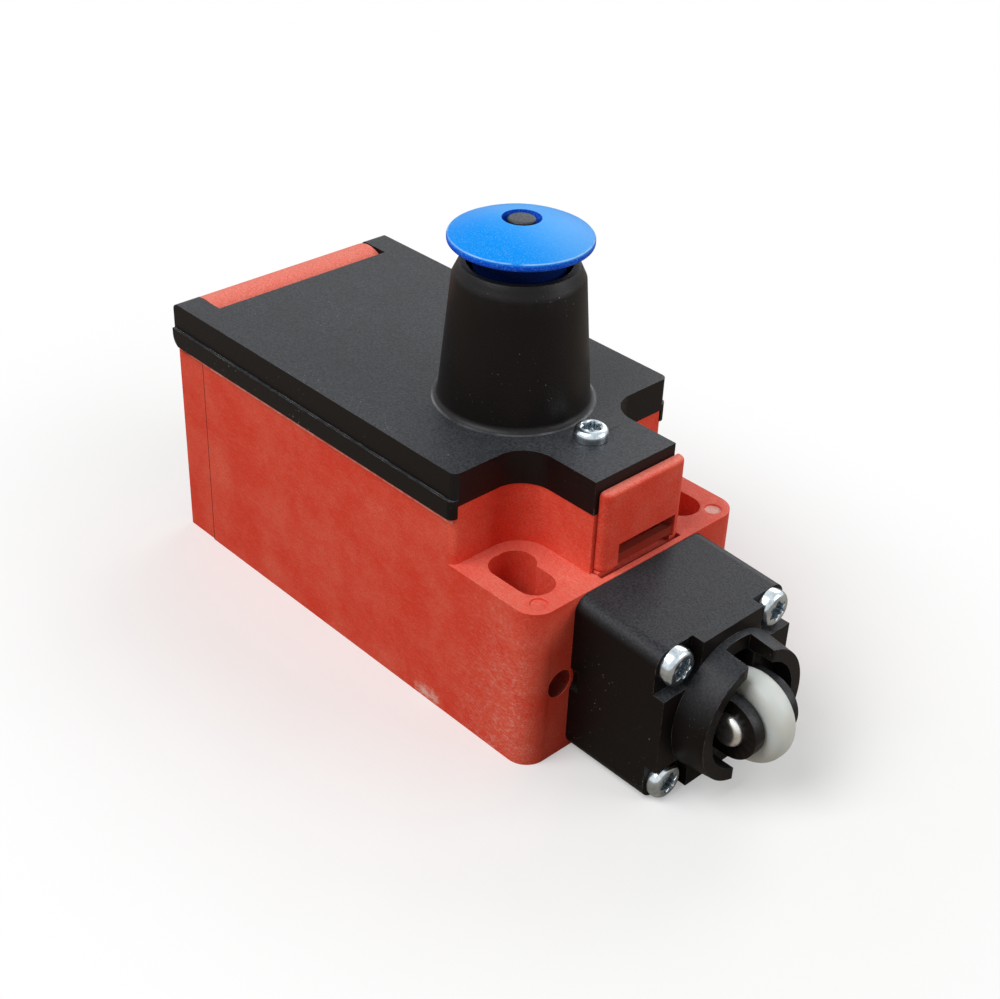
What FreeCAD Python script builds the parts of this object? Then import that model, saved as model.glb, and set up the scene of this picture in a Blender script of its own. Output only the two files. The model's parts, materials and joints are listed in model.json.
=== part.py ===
"""Roller-plunger limit switch with a pull-to-reset knob, as separate solids in one frame.

X runs along the plunger towards the roller, Y across the body and Z up from the mounting face.
The origin lies on the mounting face, midway between the two fixing slots. Millimetres.
"""
import FreeCAD, Part
import Sketcher
import math
import os
import re

SIZES = {
    # moulded body: outline seen from above, heights from the mounting face
    "body_width": 31.0,
    "body_rear": 53.9,
    "body_front": 6.4,
    "ear_height": 19.5,
    "side_height": 25.1,
    "shoulder_back": 5.5,
    "tongue_width": 11.5,
    "tongue_front": 4.4,
    "notch_radius": 3.75,
    "front_corner": 2.5,
    "rear_corner": 0.5,
    "side_wall": 2.5,
    "floor_wall": 2.5,
    "rim_inset": 1.0,
    "rim_rise": 2.1,
    "side_step": 0.12,
    "notch_rise": 1.45,
    "raise_inset": 0.6,
    "step_length": 5.0,
    "mark_radius": 0.95,
    "mark_depth": 0.2,
    "mark_inset_x": 1.75,
    "mark_inset_y": 2.35,
    # fixing slots with a second round seat at a closer pitch
    "fixing_width": 4.3,
    "slot_length": 8.0,
    "slot_pitch": 22.0,
    "hole_pitch": 20.0,
    # tapped cable entry in the thick rear wall
    "entry_radius": 10.0,
    "entry_length": 9.0,
    "entry_height": 13.0,
    # hinge between body and cover
    "hinge_inset": 1.5,
    "hinge_rise": 1.5,
    "knuckle_radius": 3.85,
    "knuckle_behind": 0.9,
    "knuckle_width": 24.4,
    "knuckle_lap": 0.85,
    "trunnion_radius": 1.2,
    "trunnion_length": 1.9,
    "ear_reach": 1.65,
    "ear_swing": 0.55,
    "ear_round": 0.9,
    # cover plate, its skirt and its proud lower lip
    "cover_rise": 5.4,
    "cover_plate": 2.3,
    "cover_grow": 0.1,
    "lip_grow": 0.4,
    "lip_rise": 2.2,
    "edge_round": 0.8,
    "gasket_inset": 0.1,
    "cover_screw_ahead": 3.5,
    "cover_head": 1.85,
    "cover_head_rise": 1.3,
    "cover_shank_foot": 0.5,
    "cover_well_floor": 1.0,
    # reset tower on the cover
    "tower_back": 13.4,
    "tower_foot": 8.18,
    "tower_shoulder": 6.95,
    "tower_mouth": 6.2,
    "tower_rise": 13.9,
    "mouth_rise": 1.6,
    "foot_fillet": 0.8,
    "tower_wall": 0.7,
    "chamber_radius": 4.9,
    "ceiling_below": 3.0,
    "ceiling_wall": 1.4,
    # reset stem, knob and guide
    "stem_radius": 2.5,
    "latch_radius": 1.8,
    "tip_radius": 1.45,
    "flange_radius": 4.4,
    "flange_wall": 1.25,
    "guide_radius": 6.0,
    "guide_wall": 1.4,
    "knob_radius": 7.52,
    "knob_rim": 0.8,
    "knob_rise": 1.9,
    "knob_gap": 2.1,
    "knob_hub": 4.8,
    "knob_well": 2.05,
    "well_depth": 1.4,
    "tip_sink": 0.3,
    "reset_travel": 3.5,
    # head block, its collar and its corner screws
    "axis_height": 9.4,
    "head_width": 19.4,
    "head_height": 18.6,
    "head_length": 12.35,
    "head_draft": 0.7,
    "head_edge": 1.8,
    "collar_foot": 7.9,
    "collar_front": 7.5,
    "collar_length": 3.75,
    "collar_slot": 3.9,
    "slot_floor": 0.75,
    "screw_pitch_y": 14.5,
    "screw_pitch_z": 14.6,
    "seat_inner_y": 4.55,
    "seat_inner_z": 4.6,
    "seat_corner": 2.7,
    "seat_depth": 1.45,
    "screw_head": 2.05,
    "screw_head_rise": 1.4,
    "screw_shank": 1.1,
    "flange_y": 17.4,
    "flange_z": 16.6,
    "flange_depth": 2.2,
    "pilot_radius": 1.6,
    "pilot_depth": 1.6,
    "pilot_pitch": 22.4,
    "nick_extra": 0.4,
    "nick_length": 1.2,
    # neck that plugs into the body and the slide that locks it
    "neck_radius": 6.0,
    "neck_length": 5.2,
    "groove_radius": 4.0,
    "seal_floor": 5.0,
    "seal_width": 1.3,
    "seal_back": 3.7,
    "lock_wall": 1.15,
    "fork_wall": 0.65,
    "lock_left": 5.25,
    "lock_right": 6.6,
    "lock_drop": 1.35,
    "lock_foot": 8.9,
    "lock_step": 0.25,
    "lock_edge": 1.0,
    "bar_above": 0.6,
    "bar_rise": 1.0,
    "bar_sink": 0.25,
    "window_sink": 0.5,
    "window_rise": 1.5,
    "window_left": 3.0,
    "window_right": 5.5,
    "window_well": 1.6,
    "well_wall": 1.2,
    # plunger, roller and rod
    "plunger_bore": 6.0,
    "plunger_flange": 6.9,
    "flange_length": 2.3,
    "shoulder_depth": 3.15,
    "stem_front": 20.2,
    "roller_centre": 22.2,
    "roller_radius": 5.1,
    "roller_width": 3.4,
    "roller_round": 0.9,
    "arm_wall": 1.45,
    "arm_radius": 3.4,
    "pin_radius": 1.0,
    "pin_head": 1.85,
    "pin_dome": 0.75,
    "rod_radius": 1.9,
    "spring_seat": 4.7,
    "seat_short": 0.2,
    "plunger_travel": 4.0,
    # contact block: base, lid, slider, bridges and terminals
    "block_gap": 0.4,
    "wire_room": 4.4,
    "end_wall": 1.5,
    "block_screw_back": 2.0,
    "block_head": 1.7,
    "block_screw_inset": 2.6,
    "base_height": 8.5,
    "lid_height": 4.0,
    "slider_width": 6.4,
    "slider_low": 6.0,
    "slider_height": 7.3,
    "slider_front": 5.0,
    "slider_spare": 1.0,
    "throat_side": 0.7,
    "throat_below": 1.4,
    "throat_above": 0.9,
    "floor_hole_depth": 1.5,
    "notch_depth": 2.0,
    "bridge_length": 18.0,
    "bridge_wall": 0.8,
    "bridge_height": 3.2,
    "front_bridge_shift": 5.55,
    "rear_bridge_ahead": 15.7,
    "bay_room": 0.6,
    "pocket_wall": 1.7,
    "window_behind": 1.0,
    "window_ahead": 2.0,
    "window_side": 0.6,
    "blade_wall": 0.8,
    "blade_inner": 5.2,
    "tab_width": 4.6,
    "tab_length": 9.6,
    "terminal_pitch": 17.0,
    "terminal_shift": 6.6,
    "clamp_size": 4.4,
    "clamp_wall": 1.0,
    "terminal_head": 2.1,
    "terminal_rise": 1.5,
    "terminal_shank": 1.25,
    "terminal_depth": 3.6,
    "rib_wall": 1.0,
    "rib_rise": 3.4,
    "rib_gap": 0.4,
    "shank_short": 0.3,
    # springs
    "wire_radius": 0.3,
    "plunger_coil": 3.9,
    "reset_coil": 3.6,
    "slider_coil": 1.9,
    # clearances
    "seat_gap": 0.05,
    "run_gap": 0.1,
    "side_gap": 0.2,
    "swing_gap": 0.15,
    "screw_gap": 0.1,
    "swing_shank_gap": 0.6,
    "cut_past": 1.0,
}

doc = FreeCAD.newDocument("limit_switch")
sheet = doc.addObject("Spreadsheet::Sheet", "Sizes")
for row, (alias, number) in enumerate(SIZES.items(), start=1):
    sheet.set("A%d" % row, alias)
    sheet.set("B%d" % row, str(number))
    sheet.setAlias("B%d" % row, alias)
doc.recompute()

TURNS = {
    "x": FreeCAD.Rotation(FreeCAD.Vector(0, 1, 0), 90),
    "y": FreeCAD.Rotation(FreeCAD.Vector(1, 0, 0), -90),
    "z": FreeCAD.Rotation(),
}
HEADINGS = {
    "x": FreeCAD.Rotation(),
    "y": FreeCAD.Rotation(FreeCAD.Vector(0, 0, 1), 90),
    "z": FreeCAD.Rotation(FreeCAD.Vector(0, 1, 0), -90),
}


def formula(text):
    """The same formula with each size's name pointing at its cell in the sheet."""
    return re.sub(r"[a-z]+(_[a-z]+)+", lambda found: "Sizes." + found.group(0), str(text))


def size(alias):
    """The number that a cell of the sheet holds now."""
    return float(sheet.get(alias))


def place(shape, x, y, z):
    """Bind an object's position to formulas."""
    for axis, text in zip("xyz", (x, y, z)):
        shape.setExpression("Placement.Base." + axis, formula(text))
    return shape


def block(name, x, y, z):
    """A box between pairs of formulas along each axis."""
    box = doc.addObject("Part::Box", name)
    for prop, (low, high) in zip(("Length", "Width", "Height"), (x, y, z)):
        box.setExpression(prop, formula("(%s) - (%s)" % (high, low)))
    return place(box, x[0], y[0], z[0])


def rod(name, along, radius, span, at):
    """A cylinder along one axis, from one formula to another, through a point on the other two."""
    shape = doc.addObject("Part::Cylinder", name)
    shape.setExpression("Radius", formula(radius))
    shape.setExpression("Height", formula("(%s) - (%s)" % (span[1], span[0])))
    return turn(shape, along, span[0], at)


def screw_bore(name, along, span, at):
    """Clearance hole for one of the small screws."""
    return rod(name, along, "screw_shank + screw_gap", span, at)


def turned(name, along, at, profile):
    """A profile of (place along the axis, radius) corners, run once round an axis."""
    start = profile[0][0]
    body = doc.addObject("PartDesign::Body", name)
    sketch = body.newObject("Sketcher::SketchObject", name + "_profile")
    base_plane = next(part for part in body.Origin.OriginFeatures if part.Role == "XY_Plane")
    sketch.AttachmentSupport = [(base_plane, "")]
    sketch.MapMode = "FlatFace"
    count = len(profile)
    corners = [FreeCAD.Vector(number, number + 1, 0) for number in range(count)]
    for number in range(count):
        sketch.addGeometry(Part.LineSegment(corners[number], corners[(number + 1) % count]))
    for number, (spot, radius) in enumerate(profile):
        sketch.addConstraint(Sketcher.Constraint("Coincident", number, 2, (number + 1) % count, 1))
        hold(sketch, "DistanceX", number, "0" if spot == start else "(%s) - (%s)" % (spot, start))
        hold(sketch, "DistanceY", number, radius)
    turning = body.newObject("PartDesign::Revolution", name + "_turn")
    turning.Profile = sketch
    turning.ReferenceAxis = (sketch, ["H_Axis"])
    body.Placement = FreeCAD.Placement(FreeCAD.Vector(), HEADINGS[along])
    return place(body, *spread(along, start, at))


def hold(sketch, kind, line, text):
    """Bind the start of a sketch's line to a formula along or across the axis; 0 puts it on the axis."""
    if text == "0":
        sketch.addConstraint(Sketcher.Constraint("PointOnObject", line, 1, -2 if kind == "DistanceX" else -1))
        return
    number = sketch.addConstraint(Sketcher.Constraint(kind, -1, 1, line, 1, 1.0))
    sketch.setExpression("Constraints[%d]" % number, formula(text))


def spread(along, start, at):
    """A point as (X, Y, Z) from its place along one axis and its place across it."""
    return {"x": (start, at[0], at[1]), "y": (at[0], start, at[1]), "z": (at[0], at[1], start)}[along]


def turn(shape, along, start, at):
    """Point a shape made along Z at another axis and bind its foot."""
    shape.Placement = FreeCAD.Placement(FreeCAD.Vector(), TURNS[along])
    return place(shape, *spread(along, start, at))


def fuse(name, shapes):
    """One solid from several that overlap or touch."""
    whole = doc.addObject("Part::MultiFuse", name)
    whole.Shapes = shapes
    whole.Refine = True
    return whole


def cut(name, base, tools):
    """A solid with one or more others taken away."""
    tool = tools[0] if len(tools) == 1 else fuse(name + "_tools", tools)
    rest = doc.addObject("Part::Cut", name)
    rest.Base = base
    rest.Tool = tool
    rest.Refine = True
    return rest


def common(name, first, second):
    """What two solids share."""
    shared = doc.addObject("Part::Common", name)
    shared.Base = first
    shared.Tool = second
    return shared


def rounded(name, base, radius, wanted):
    """Fillet the edges that a test picks by middle point and direction."""
    doc.recompute()
    picks = []
    for number, edge in enumerate(base.Shape.Edges, start=1):
        if edge.Degenerated:
            continue
        middle = edge.valueAt((edge.FirstParameter + edge.LastParameter) / 2)
        heading = edge.tangentAt((edge.FirstParameter + edge.LastParameter) / 2)
        if wanted(middle, heading):
            picks.append((number, radius, radius))
    if not picks:
        raise ValueError("no edge of %s is to be rounded" % base.Label)
    fillet = doc.addObject("Part::Fillet", name)
    fillet.Base = base
    fillet.Edges = picks
    return fillet


def upright(x_test):
    """A test for vertical edges whose middle point passes another test."""
    return lambda middle, heading: abs(heading.z) > 0.99 and x_test(middle)


def near(first, second):
    """Two lengths that agree to a hundredth of a millimetre."""
    return abs(first - second) < 0.01


def span_y(side, inner, outer):
    """A low and high Y for a piece between two distances from the middle plane."""
    return ("-(%s)" % outer, "-(%s)" % inner) if side < 0 else (inner, outer)


PIECES = []


def piece(shape, node):
    """Name a finished solid after its node."""
    shape.Label = node
    PIECES.append(shape)
    return shape


COVER_LOW = "side_height + seat_gap"
COVER_TOP = "side_height + cover_rise"
COVER_UNDER = "side_height + cover_rise - cover_plate"
RIM_TOP = "side_height + rim_rise"
CAVITY_REAR = "-(body_rear - entry_length)"
CAVITY_FRONT = "-(shoulder_back + side_wall)"
CAVITY_HALF = "body_width / 2 - side_wall"
RIM_HALF = "body_width / 2 - rim_inset"
RIM_REAR = "-(body_rear - entry_length + side_wall - rim_inset)"
RIM_FRONT = "-(shoulder_back + rim_inset)"
NOTCH_TOP = "side_height + notch_rise"
RAISE_HALF = "body_width / 2 - raise_inset"
HINGE = ("-(body_rear - hinge_inset)", "side_height + hinge_rise")
NOTCH_HALF = "knuckle_width / 2 + swing_gap"
COVER_SCREW_AT = ("-(shoulder_back - cover_screw_ahead)", "0")
HEAD_FRONT = "body_front + head_length"
FLANGE_FRONT = "body_front + flange_depth"
SHOULDER_X = "body_front + head_length - shoulder_depth"
SPRING_SEAT_X = "body_front + head_length - shoulder_depth - run_gap - seat_short"
NECK_REAR = "body_front - neck_length"
LOCK_REAR = "tongue_front + run_gap"
LOCK_FRONT = "tongue_front + run_gap + lock_wall"
LOCK_TOP = "side_height + cover_rise - lock_drop"
LOCK_STEP = "ear_height + lock_step"
FORK_FRONT = "tongue_front + run_gap + fork_wall"
BAR_LOW = "ear_height + bar_above"
BAR_TOP = "ear_height + bar_above + bar_rise"
WINDOW_TOP = "ear_height + bar_above + bar_rise + window_rise"
WINDOW_SPAN = ("-window_left", "window_right")
FORK_HALF = "roller_width / 2 + side_gap"
ROLLER_AT = ("roller_centre", "axis_height")
BASE_TOP = "floor_wall + base_height"
LID_LOW = "floor_wall + base_height + seat_gap"
LID_TOP = "floor_wall + base_height + seat_gap + lid_height"
BLOCK_FRONT = "-(shoulder_back + side_wall + block_gap)"
BLOCK_REAR = "-(body_rear - entry_length - wire_room)"
BLOCK_HALF = "body_width / 2 - side_wall - block_gap"
CHANNEL_REAR = "-(body_rear - entry_length - wire_room - end_wall)"
SLIDER_TOP = "slider_low + slider_height"
SLIDER_REAR = "-(body_rear - entry_length - wire_room - end_wall - plunger_travel - slider_spare)"
FRONT_BRIDGE = "-(shoulder_back + side_wall + block_gap + front_bridge_shift)"
REAR_BRIDGE = "-(body_rear - entry_length - wire_room - rear_bridge_ahead)"
SLIDER_SEAT = "-(body_rear - entry_length - wire_room - rear_bridge_ahead + pocket_wall)"
TOWER_TOP = "side_height + cover_rise + tower_rise + mouth_rise"
CEILING = "side_height + cover_rise + tower_rise + mouth_rise - ceiling_below"
STEM_SEAT = "side_height + cover_rise - cover_plate + guide_wall + run_gap"
KNOB_LOW = "side_height + cover_rise + tower_rise + mouth_rise + knob_gap"
KNOB_TOP = "side_height + cover_rise + tower_rise + mouth_rise + knob_gap + knob_rim + knob_rise"
TOWER_AT = ("-tower_back", "0")
AXIS_AT = ("0", "axis_height")
BRIDGES = (("front", FRONT_BRIDGE), ("rear", REAR_BRIDGE))
SIDES = ((-1, "left"), (1, "right"))


def plan(name, grow, low, high):
    """The body's outline from above as a slab: full width behind, a tongue between the ears."""
    wide = block(
        name + "_wide",
        ("-(body_rear + %s)" % grow, "-shoulder_back + %s" % grow),
        ("-(body_width / 2 + %s)" % grow, "body_width / 2 + %s" % grow),
        (low, high),
    )
    tongue = block(
        name + "_tongue",
        (CAVITY_FRONT, "tongue_front"),
        ("-(tongue_width / 2 + %s)" % grow, "tongue_width / 2 + %s" % grow),
        (low, high),
    )
    both = fuse(name + "_both", [wide, tongue])
    grown = 0.0 if grow == "0" else size(grow)
    inner = size("tongue_width") / 2 + grown
    outer = size("body_width") / 2 + grown
    corner_x = grown - size("shoulder_back")
    soft = rounded(
        name + "_soft", both, size("notch_radius") - grown,
        upright(lambda at: near(at.x, corner_x) and near(abs(at.y), inner)),
    )
    return rounded(
        name, soft, size("edge_round"),
        upright(lambda at: near(at.x, corner_x) and near(abs(at.y), outer)),
    )


def fixing_tools():
    """Two slots along X, each merged with a round seat at the closer pitch."""
    reach = "(slot_length - fixing_width) / 2"
    through = ("-cut_past", "ear_height + cut_past")
    tools = []
    for side, word in SIDES:
        middle = "%d * slot_pitch / 2" % side
        for end, mark in ((-1, "rear"), (1, "front")):
            tools.append(rod("slot_%s_%s" % (word, mark), "z", "fixing_width / 2", through,
                             ("%d * %s" % (end, reach), middle)))
        tools.append(block("slot_%s" % word, ("-%s" % reach, reach),
                           ("%s - fixing_width / 2" % middle, "%s + fixing_width / 2" % middle), through))
        tools.append(rod("seat_%s" % word, "z", "fixing_width / 2", through,
                         ("-%s" % reach, "%d * hole_pitch / 2" % side)))
    return tools


def body_shell():
    """The body's outside: ears below, tongue above, rounded corners, rim and hinge knuckle."""
    lower = block("body_lower", ("-body_rear", "body_front"),
                  ("-body_width / 2", "body_width / 2"), ("0", "ear_height"))
    front = size("body_front")
    lower = rounded("body_front_soft", lower, size("front_corner"), upright(lambda at: near(at.x, front)))
    upper = plan("body_upper", "0", "ear_height - floor_wall", "side_height")
    rear = -size("body_rear")
    shell = rounded("body_rear_soft", fuse("body_both", [lower, upper]), size("rear_corner"),
                    upright(lambda at: near(at.x, rear)))
    swing = [rod("swing_%s" % word, "y", "ear_reach + ear_swing",
                 span_y(side, "knuckle_width / 2", "body_width / 2 + cut_past"), HINGE)
             for side, word in SIDES]
    rim = block("body_rim", (RIM_REAR, RIM_FRONT), ("-(%s)" % RIM_HALF, RIM_HALF), ("ear_height", RIM_TOP))
    raised = common(
        "body_raised",
        plan("body_raise", "0", "ear_height", NOTCH_TOP),
        block("body_raise_limit", (RIM_FRONT, "tongue_front"), ("-(%s)" % RAISE_HALF, RAISE_HALF),
              ("ear_height", NOTCH_TOP)),
    )
    knuckle = common(
        "knuckle",
        rod("knuckle_round", "y", "knuckle_radius", ("-knuckle_width / 2", "knuckle_width / 2"), HINGE),
        block("knuckle_limit", ("-(body_rear + knuckle_behind)", HINGE[0] + " + knuckle_radius"),
              ("-body_width", "body_width"), ("side_height", COVER_TOP)),
    )
    trunnions = rod("trunnions", "y", "trunnion_radius",
                    ("-(knuckle_width / 2 + trunnion_length)", "knuckle_width / 2 + trunnion_length"), HINGE)
    return fuse("body_solid", [cut("body_cleared", shell, swing), rim, raised, knuckle, trunnions])


def body_side_tools():
    """Shallow cuts on the body's outside: rear side steps, front pilot holes and round mould marks."""
    tools = []
    for side, word in SIDES:
        tools.append(block("step_%s" % word, ("-(body_rear + cut_past)", "-(body_rear - step_length)"),
                           span_y(side, "body_width / 2 - side_step", "body_width / 2 + cut_past"),
                           ("-cut_past", "side_height + cut_past")))
        tools.append(rod("pilot_%s" % word, "x", "pilot_radius",
                         ("body_front - pilot_depth", "body_front + cut_past"),
                         ("%d * pilot_pitch / 2" % side, "axis_height")))
        tools.append(rod("mark_%s" % word, "z", "mark_radius",
                         ("ear_height - mark_depth", "ear_height + cut_past"),
                         ("body_front - mark_inset_x", "%d * (body_width / 2 - mark_inset_y)" % side)))
    return tools


def housing():
    """Red body: shell, cavity, cable entry, socket for the head's neck and the lock's pocket."""
    cavity = block("cavity", (CAVITY_REAR, CAVITY_FRONT), ("-(%s)" % CAVITY_HALF, CAVITY_HALF),
                   ("floor_wall", RIM_TOP + " + cut_past"))
    throat = block("throat", (CAVITY_FRONT + " - cut_past", NECK_REAR),
                   ("-(slider_width / 2 + throat_side)", "slider_width / 2 + throat_side"),
                   ("slider_low - throat_below", SLIDER_TOP + " + throat_above"))
    socket = rod("socket", "x", "neck_radius + run_gap",
                 (NECK_REAR + " - side_gap", "body_front + cut_past"), AXIS_AT)
    pocket = block("lock_pocket", (LOCK_REAR + " - run_gap", LOCK_FRONT + " + run_gap"),
                   ("-(lock_left + run_gap)", "lock_right + run_gap"),
                   ("lock_foot - side_gap", "ear_height + cut_past"))
    window_well = block("window_well_space", ("tongue_front - window_well", LOCK_REAR),
                        ("-window_left", "tongue_width / 2 - well_wall"), ("ear_height", WINDOW_TOP))
    entry = rod("entry", "x", "entry_radius", ("-(body_rear + cut_past)", CAVITY_REAR + " + cut_past"),
                ("0", "entry_height"))
    screw_well = rod("screw_well", "z", "screw_shank + swing_shank_gap",
                     ("ear_height - cover_well_floor", NOTCH_TOP + " + cut_past"), COVER_SCREW_AT)
    drilled = ("floor_wall - floor_hole_depth", "floor_wall + cut_past")
    floor_holes = [screw_bore("floor_hole_" + word, "z", drilled, spot) for word, spot in block_screw_spots()]
    tools = body_side_tools() + fixing_tools() + floor_holes
    tools += [cavity, throat, socket, pocket, window_well, entry, screw_well]
    piece(cut("housing", body_shell(), tools), "housing")


def cover_shell():
    """The cover's outside: plate, skirt with a proud lip along its sides, tower with a foot fillet."""
    upper = plan("cover_upper", "cover_grow", COVER_LOW, COVER_TOP)
    lip = block("cover_lip", ("-(body_rear + lip_grow)", "-shoulder_back + cover_grow"),
                ("-(body_width / 2 + lip_grow)", "body_width / 2 + lip_grow"),
                (COVER_LOW, COVER_LOW + " + lip_rise"))
    lip_front = size("cover_grow") - size("shoulder_back")
    lower = rounded("cover_lower", lip, size("edge_round"), upright(lambda at: near(at.x, lip_front)))
    hollow = block("cover_hollow", (RIM_REAR + " - side_gap", RIM_FRONT + " + side_gap"),
                   ("-(%s + side_gap)" % RIM_HALF, RIM_HALF + " + side_gap"),
                   (COVER_LOW + " - cut_past", COVER_UNDER))
    tower = turned("tower", "z", TOWER_AT, [
        (COVER_UNDER, "0"),
        (COVER_UNDER, "tower_foot"),
        (COVER_TOP, "tower_foot"),
        (COVER_TOP + " + tower_rise", "tower_shoulder"),
        (TOWER_TOP, "tower_mouth"),
        (TOWER_TOP, "0"),
    ])
    slab = fuse("cover_slab", [cut("cover_hollowed", fuse("cover_plan", [upper, lower]), [hollow]), tower])
    top = size("side_height") + size("cover_rise")
    foot = size("tower_foot")
    back = -size("tower_back")
    return rounded("cover_footed", slab, size("foot_fillet"),
                   lambda at, heading: near(at.z, top) and near(math.hypot(at.x - back, at.y), foot))


def ear_tools():
    """What rounds the rear ends of the hinge ears: all that lies outside their profile."""
    rear = HINGE[0] + " - ear_reach"
    across = ("-body_width", "body_width")
    behind = "-(body_rear + 3 * cut_past)"
    over = block("ear_over", (behind, rear + " + ear_round"), across,
                 (COVER_TOP + " - ear_round", COVER_TOP + " + cut_past"))
    top = cut("ear_top", over, [rod("ear_top_round", "y", "ear_round", across,
                                    (rear + " + ear_round", COVER_TOP + " - ear_round"))])
    under = block("ear_under", (behind, HINGE[0]), across, ("ear_height", HINGE[1]))
    low = cut("ear_low", under, [rod("ear_low_round", "y", "ear_reach", across, HINGE)])
    back = block("ear_behind", (behind, rear), across, ("ear_height", COVER_TOP + " + cut_past"))
    return [top, low, back]


def cover():
    """Black cover: shell with hinge ears, the tower's spring chamber and mouth, and the screw hole."""
    notch_span = ("-(%s)" % NOTCH_HALF, NOTCH_HALF)
    notch = block("hinge_notch",
                  ("-(body_rear + 3 * cut_past)", HINGE[0] + " + knuckle_radius - knuckle_lap"),
                  notch_span, ("ear_height", COVER_TOP + " + cut_past"))
    scoop = rod("hinge_scoop", "y", "knuckle_radius + swing_gap", notch_span, HINGE)
    socket_half = "knuckle_width / 2 + trunnion_length + side_gap"
    sockets = rod("ear_sockets", "y", "trunnion_radius + run_gap",
                  ("-(%s)" % socket_half, socket_half), HINGE)
    bores = turned("tower_bores", "z", TOWER_AT, [
        (COVER_UNDER + " - cut_past", "0"),
        (COVER_UNDER + " - cut_past", "guide_radius + seat_gap"),
        (COVER_UNDER + " + guide_wall", "guide_radius + seat_gap"),
        (COVER_UNDER + " + guide_wall", "chamber_radius"),
        (CEILING + " - ceiling_wall", "chamber_radius"),
        (CEILING + " - ceiling_wall", "stem_radius + side_gap"),
        (CEILING, "stem_radius + side_gap"),
        (CEILING, "tower_mouth - tower_wall"),
        (TOWER_TOP + " + cut_past", "tower_mouth - tower_wall"),
        (TOWER_TOP + " + cut_past", "0"),
    ])
    screw_hole = screw_bore("cover_screw_hole", "z",
                            (COVER_LOW + " - cut_past", COVER_TOP + " + cut_past"), COVER_SCREW_AT)
    relief = block("front_relief", (RIM_FRONT + " - run_gap", "tongue_front + cut_past"),
                   ("-(%s + run_gap)" % RAISE_HALF, RAISE_HALF + " + run_gap"),
                   (COVER_LOW + " - cut_past", NOTCH_TOP + " + seat_gap"))
    tools = [notch, scoop, sockets, bores, screw_hole, relief] + ear_tools()
    piece(cut("cover", cover_shell(), tools), "cover")


def cover_gasket():
    """Flat sealing ring that lies on the body's rim under the cover."""
    outer = block("gasket_outer", (RIM_REAR + " + gasket_inset", RIM_FRONT + " - gasket_inset"),
                  ("-(%s - gasket_inset)" % RIM_HALF, RIM_HALF + " - gasket_inset"),
                  (RIM_TOP, COVER_UNDER + " - seat_gap"))
    inner = block("gasket_inner", (CAVITY_REAR + " - gasket_inset", CAVITY_FRONT + " + gasket_inset"),
                  ("-(%s + gasket_inset)" % CAVITY_HALF, CAVITY_HALF + " + gasket_inset"),
                  ("side_height", COVER_TOP))
    piece(cut("cover_gasket", outer, [inner]), "cover_gasket")


def screw(name, along, at, foot, seat, top, shank, head):
    """A plain screw: its shank from foot to seat and its head from seat to top."""
    return turned(name, along, at, [
        (foot, "0"), (foot, shank), (seat, shank), (seat, head), (top, head), (top, "0")])


def cover_screw():
    """Captive screw at the front of the cover."""
    piece(screw("cover_screw", "z", COVER_SCREW_AT, "ear_height + cover_shank_foot", COVER_TOP,
                COVER_TOP + " + cover_head_rise", "screw_shank", "cover_head"), "cover_screw")


def reset_stem():
    """Latch rod: nose over the slider, spring flange, guide length and a thin tip through the knob."""
    nose = SLIDER_TOP + " + side_gap"
    shoulder = CEILING + " + side_gap"
    tip = KNOB_TOP + " - tip_sink"
    piece(turned("reset_stem", "z", TOWER_AT, [
        (nose, "0"),
        (nose, "latch_radius"),
        (STEM_SEAT, "latch_radius"),
        (STEM_SEAT, "flange_radius"),
        (STEM_SEAT + " + flange_wall", "flange_radius"),
        (STEM_SEAT + " + flange_wall", "stem_radius"),
        (shoulder, "stem_radius"),
        (shoulder, "tip_radius"),
        (tip, "tip_radius"),
        (tip, "0"),
    ]), "reset_stem")


def stem_guide():
    """Ring under the tower that the stem's flange rests above."""
    piece(turned("stem_guide", "z", TOWER_AT, [
        (COVER_UNDER, "latch_radius + run_gap"),
        (COVER_UNDER, "guide_radius"),
        (COVER_UNDER + " + guide_wall", "guide_radius"),
        (COVER_UNDER + " + guide_wall", "latch_radius + run_gap"),
    ]), "stem_guide")


def reset_knob():
    """Blue mushroom cap: thin rim, shallow dome, hub and a well around the stem's tip."""
    ball_radius = "(knob_radius ^ 2 + knob_rise ^ 2) / (2 * knob_rise)"
    ball = doc.addObject("Part::Sphere", "knob_ball")
    ball.setExpression("Radius", formula(ball_radius))
    place(ball, "-tower_back", "0", "%s - %s" % (KNOB_TOP, ball_radius))
    disc = rod("knob_disc", "z", "knob_radius", (KNOB_LOW, KNOB_TOP), TOWER_AT)
    rim = size("knob_radius")
    dome = rounded("knob_soft", common("knob_dome", disc, ball), size("knob_rim") * 0.45,
                   lambda at, heading: near(math.hypot(at.x + size("tower_back"), at.y), rim))
    hub = rod("knob_hub_side", "z", "knob_hub", (CEILING + " + side_gap", KNOB_LOW + " + knob_rim"), TOWER_AT)
    bore = rod("knob_bore", "z", "tip_radius + seat_gap", (CEILING, KNOB_TOP + " + cut_past"), TOWER_AT)
    well = rod("knob_well_side", "z", "knob_well",
               (KNOB_TOP + " - well_depth", KNOB_TOP + " + cut_past"), TOWER_AT)
    piece(cut("reset_knob", fuse("knob_solid", [dome, hub]), [bore, well]), "reset_knob")


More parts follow.
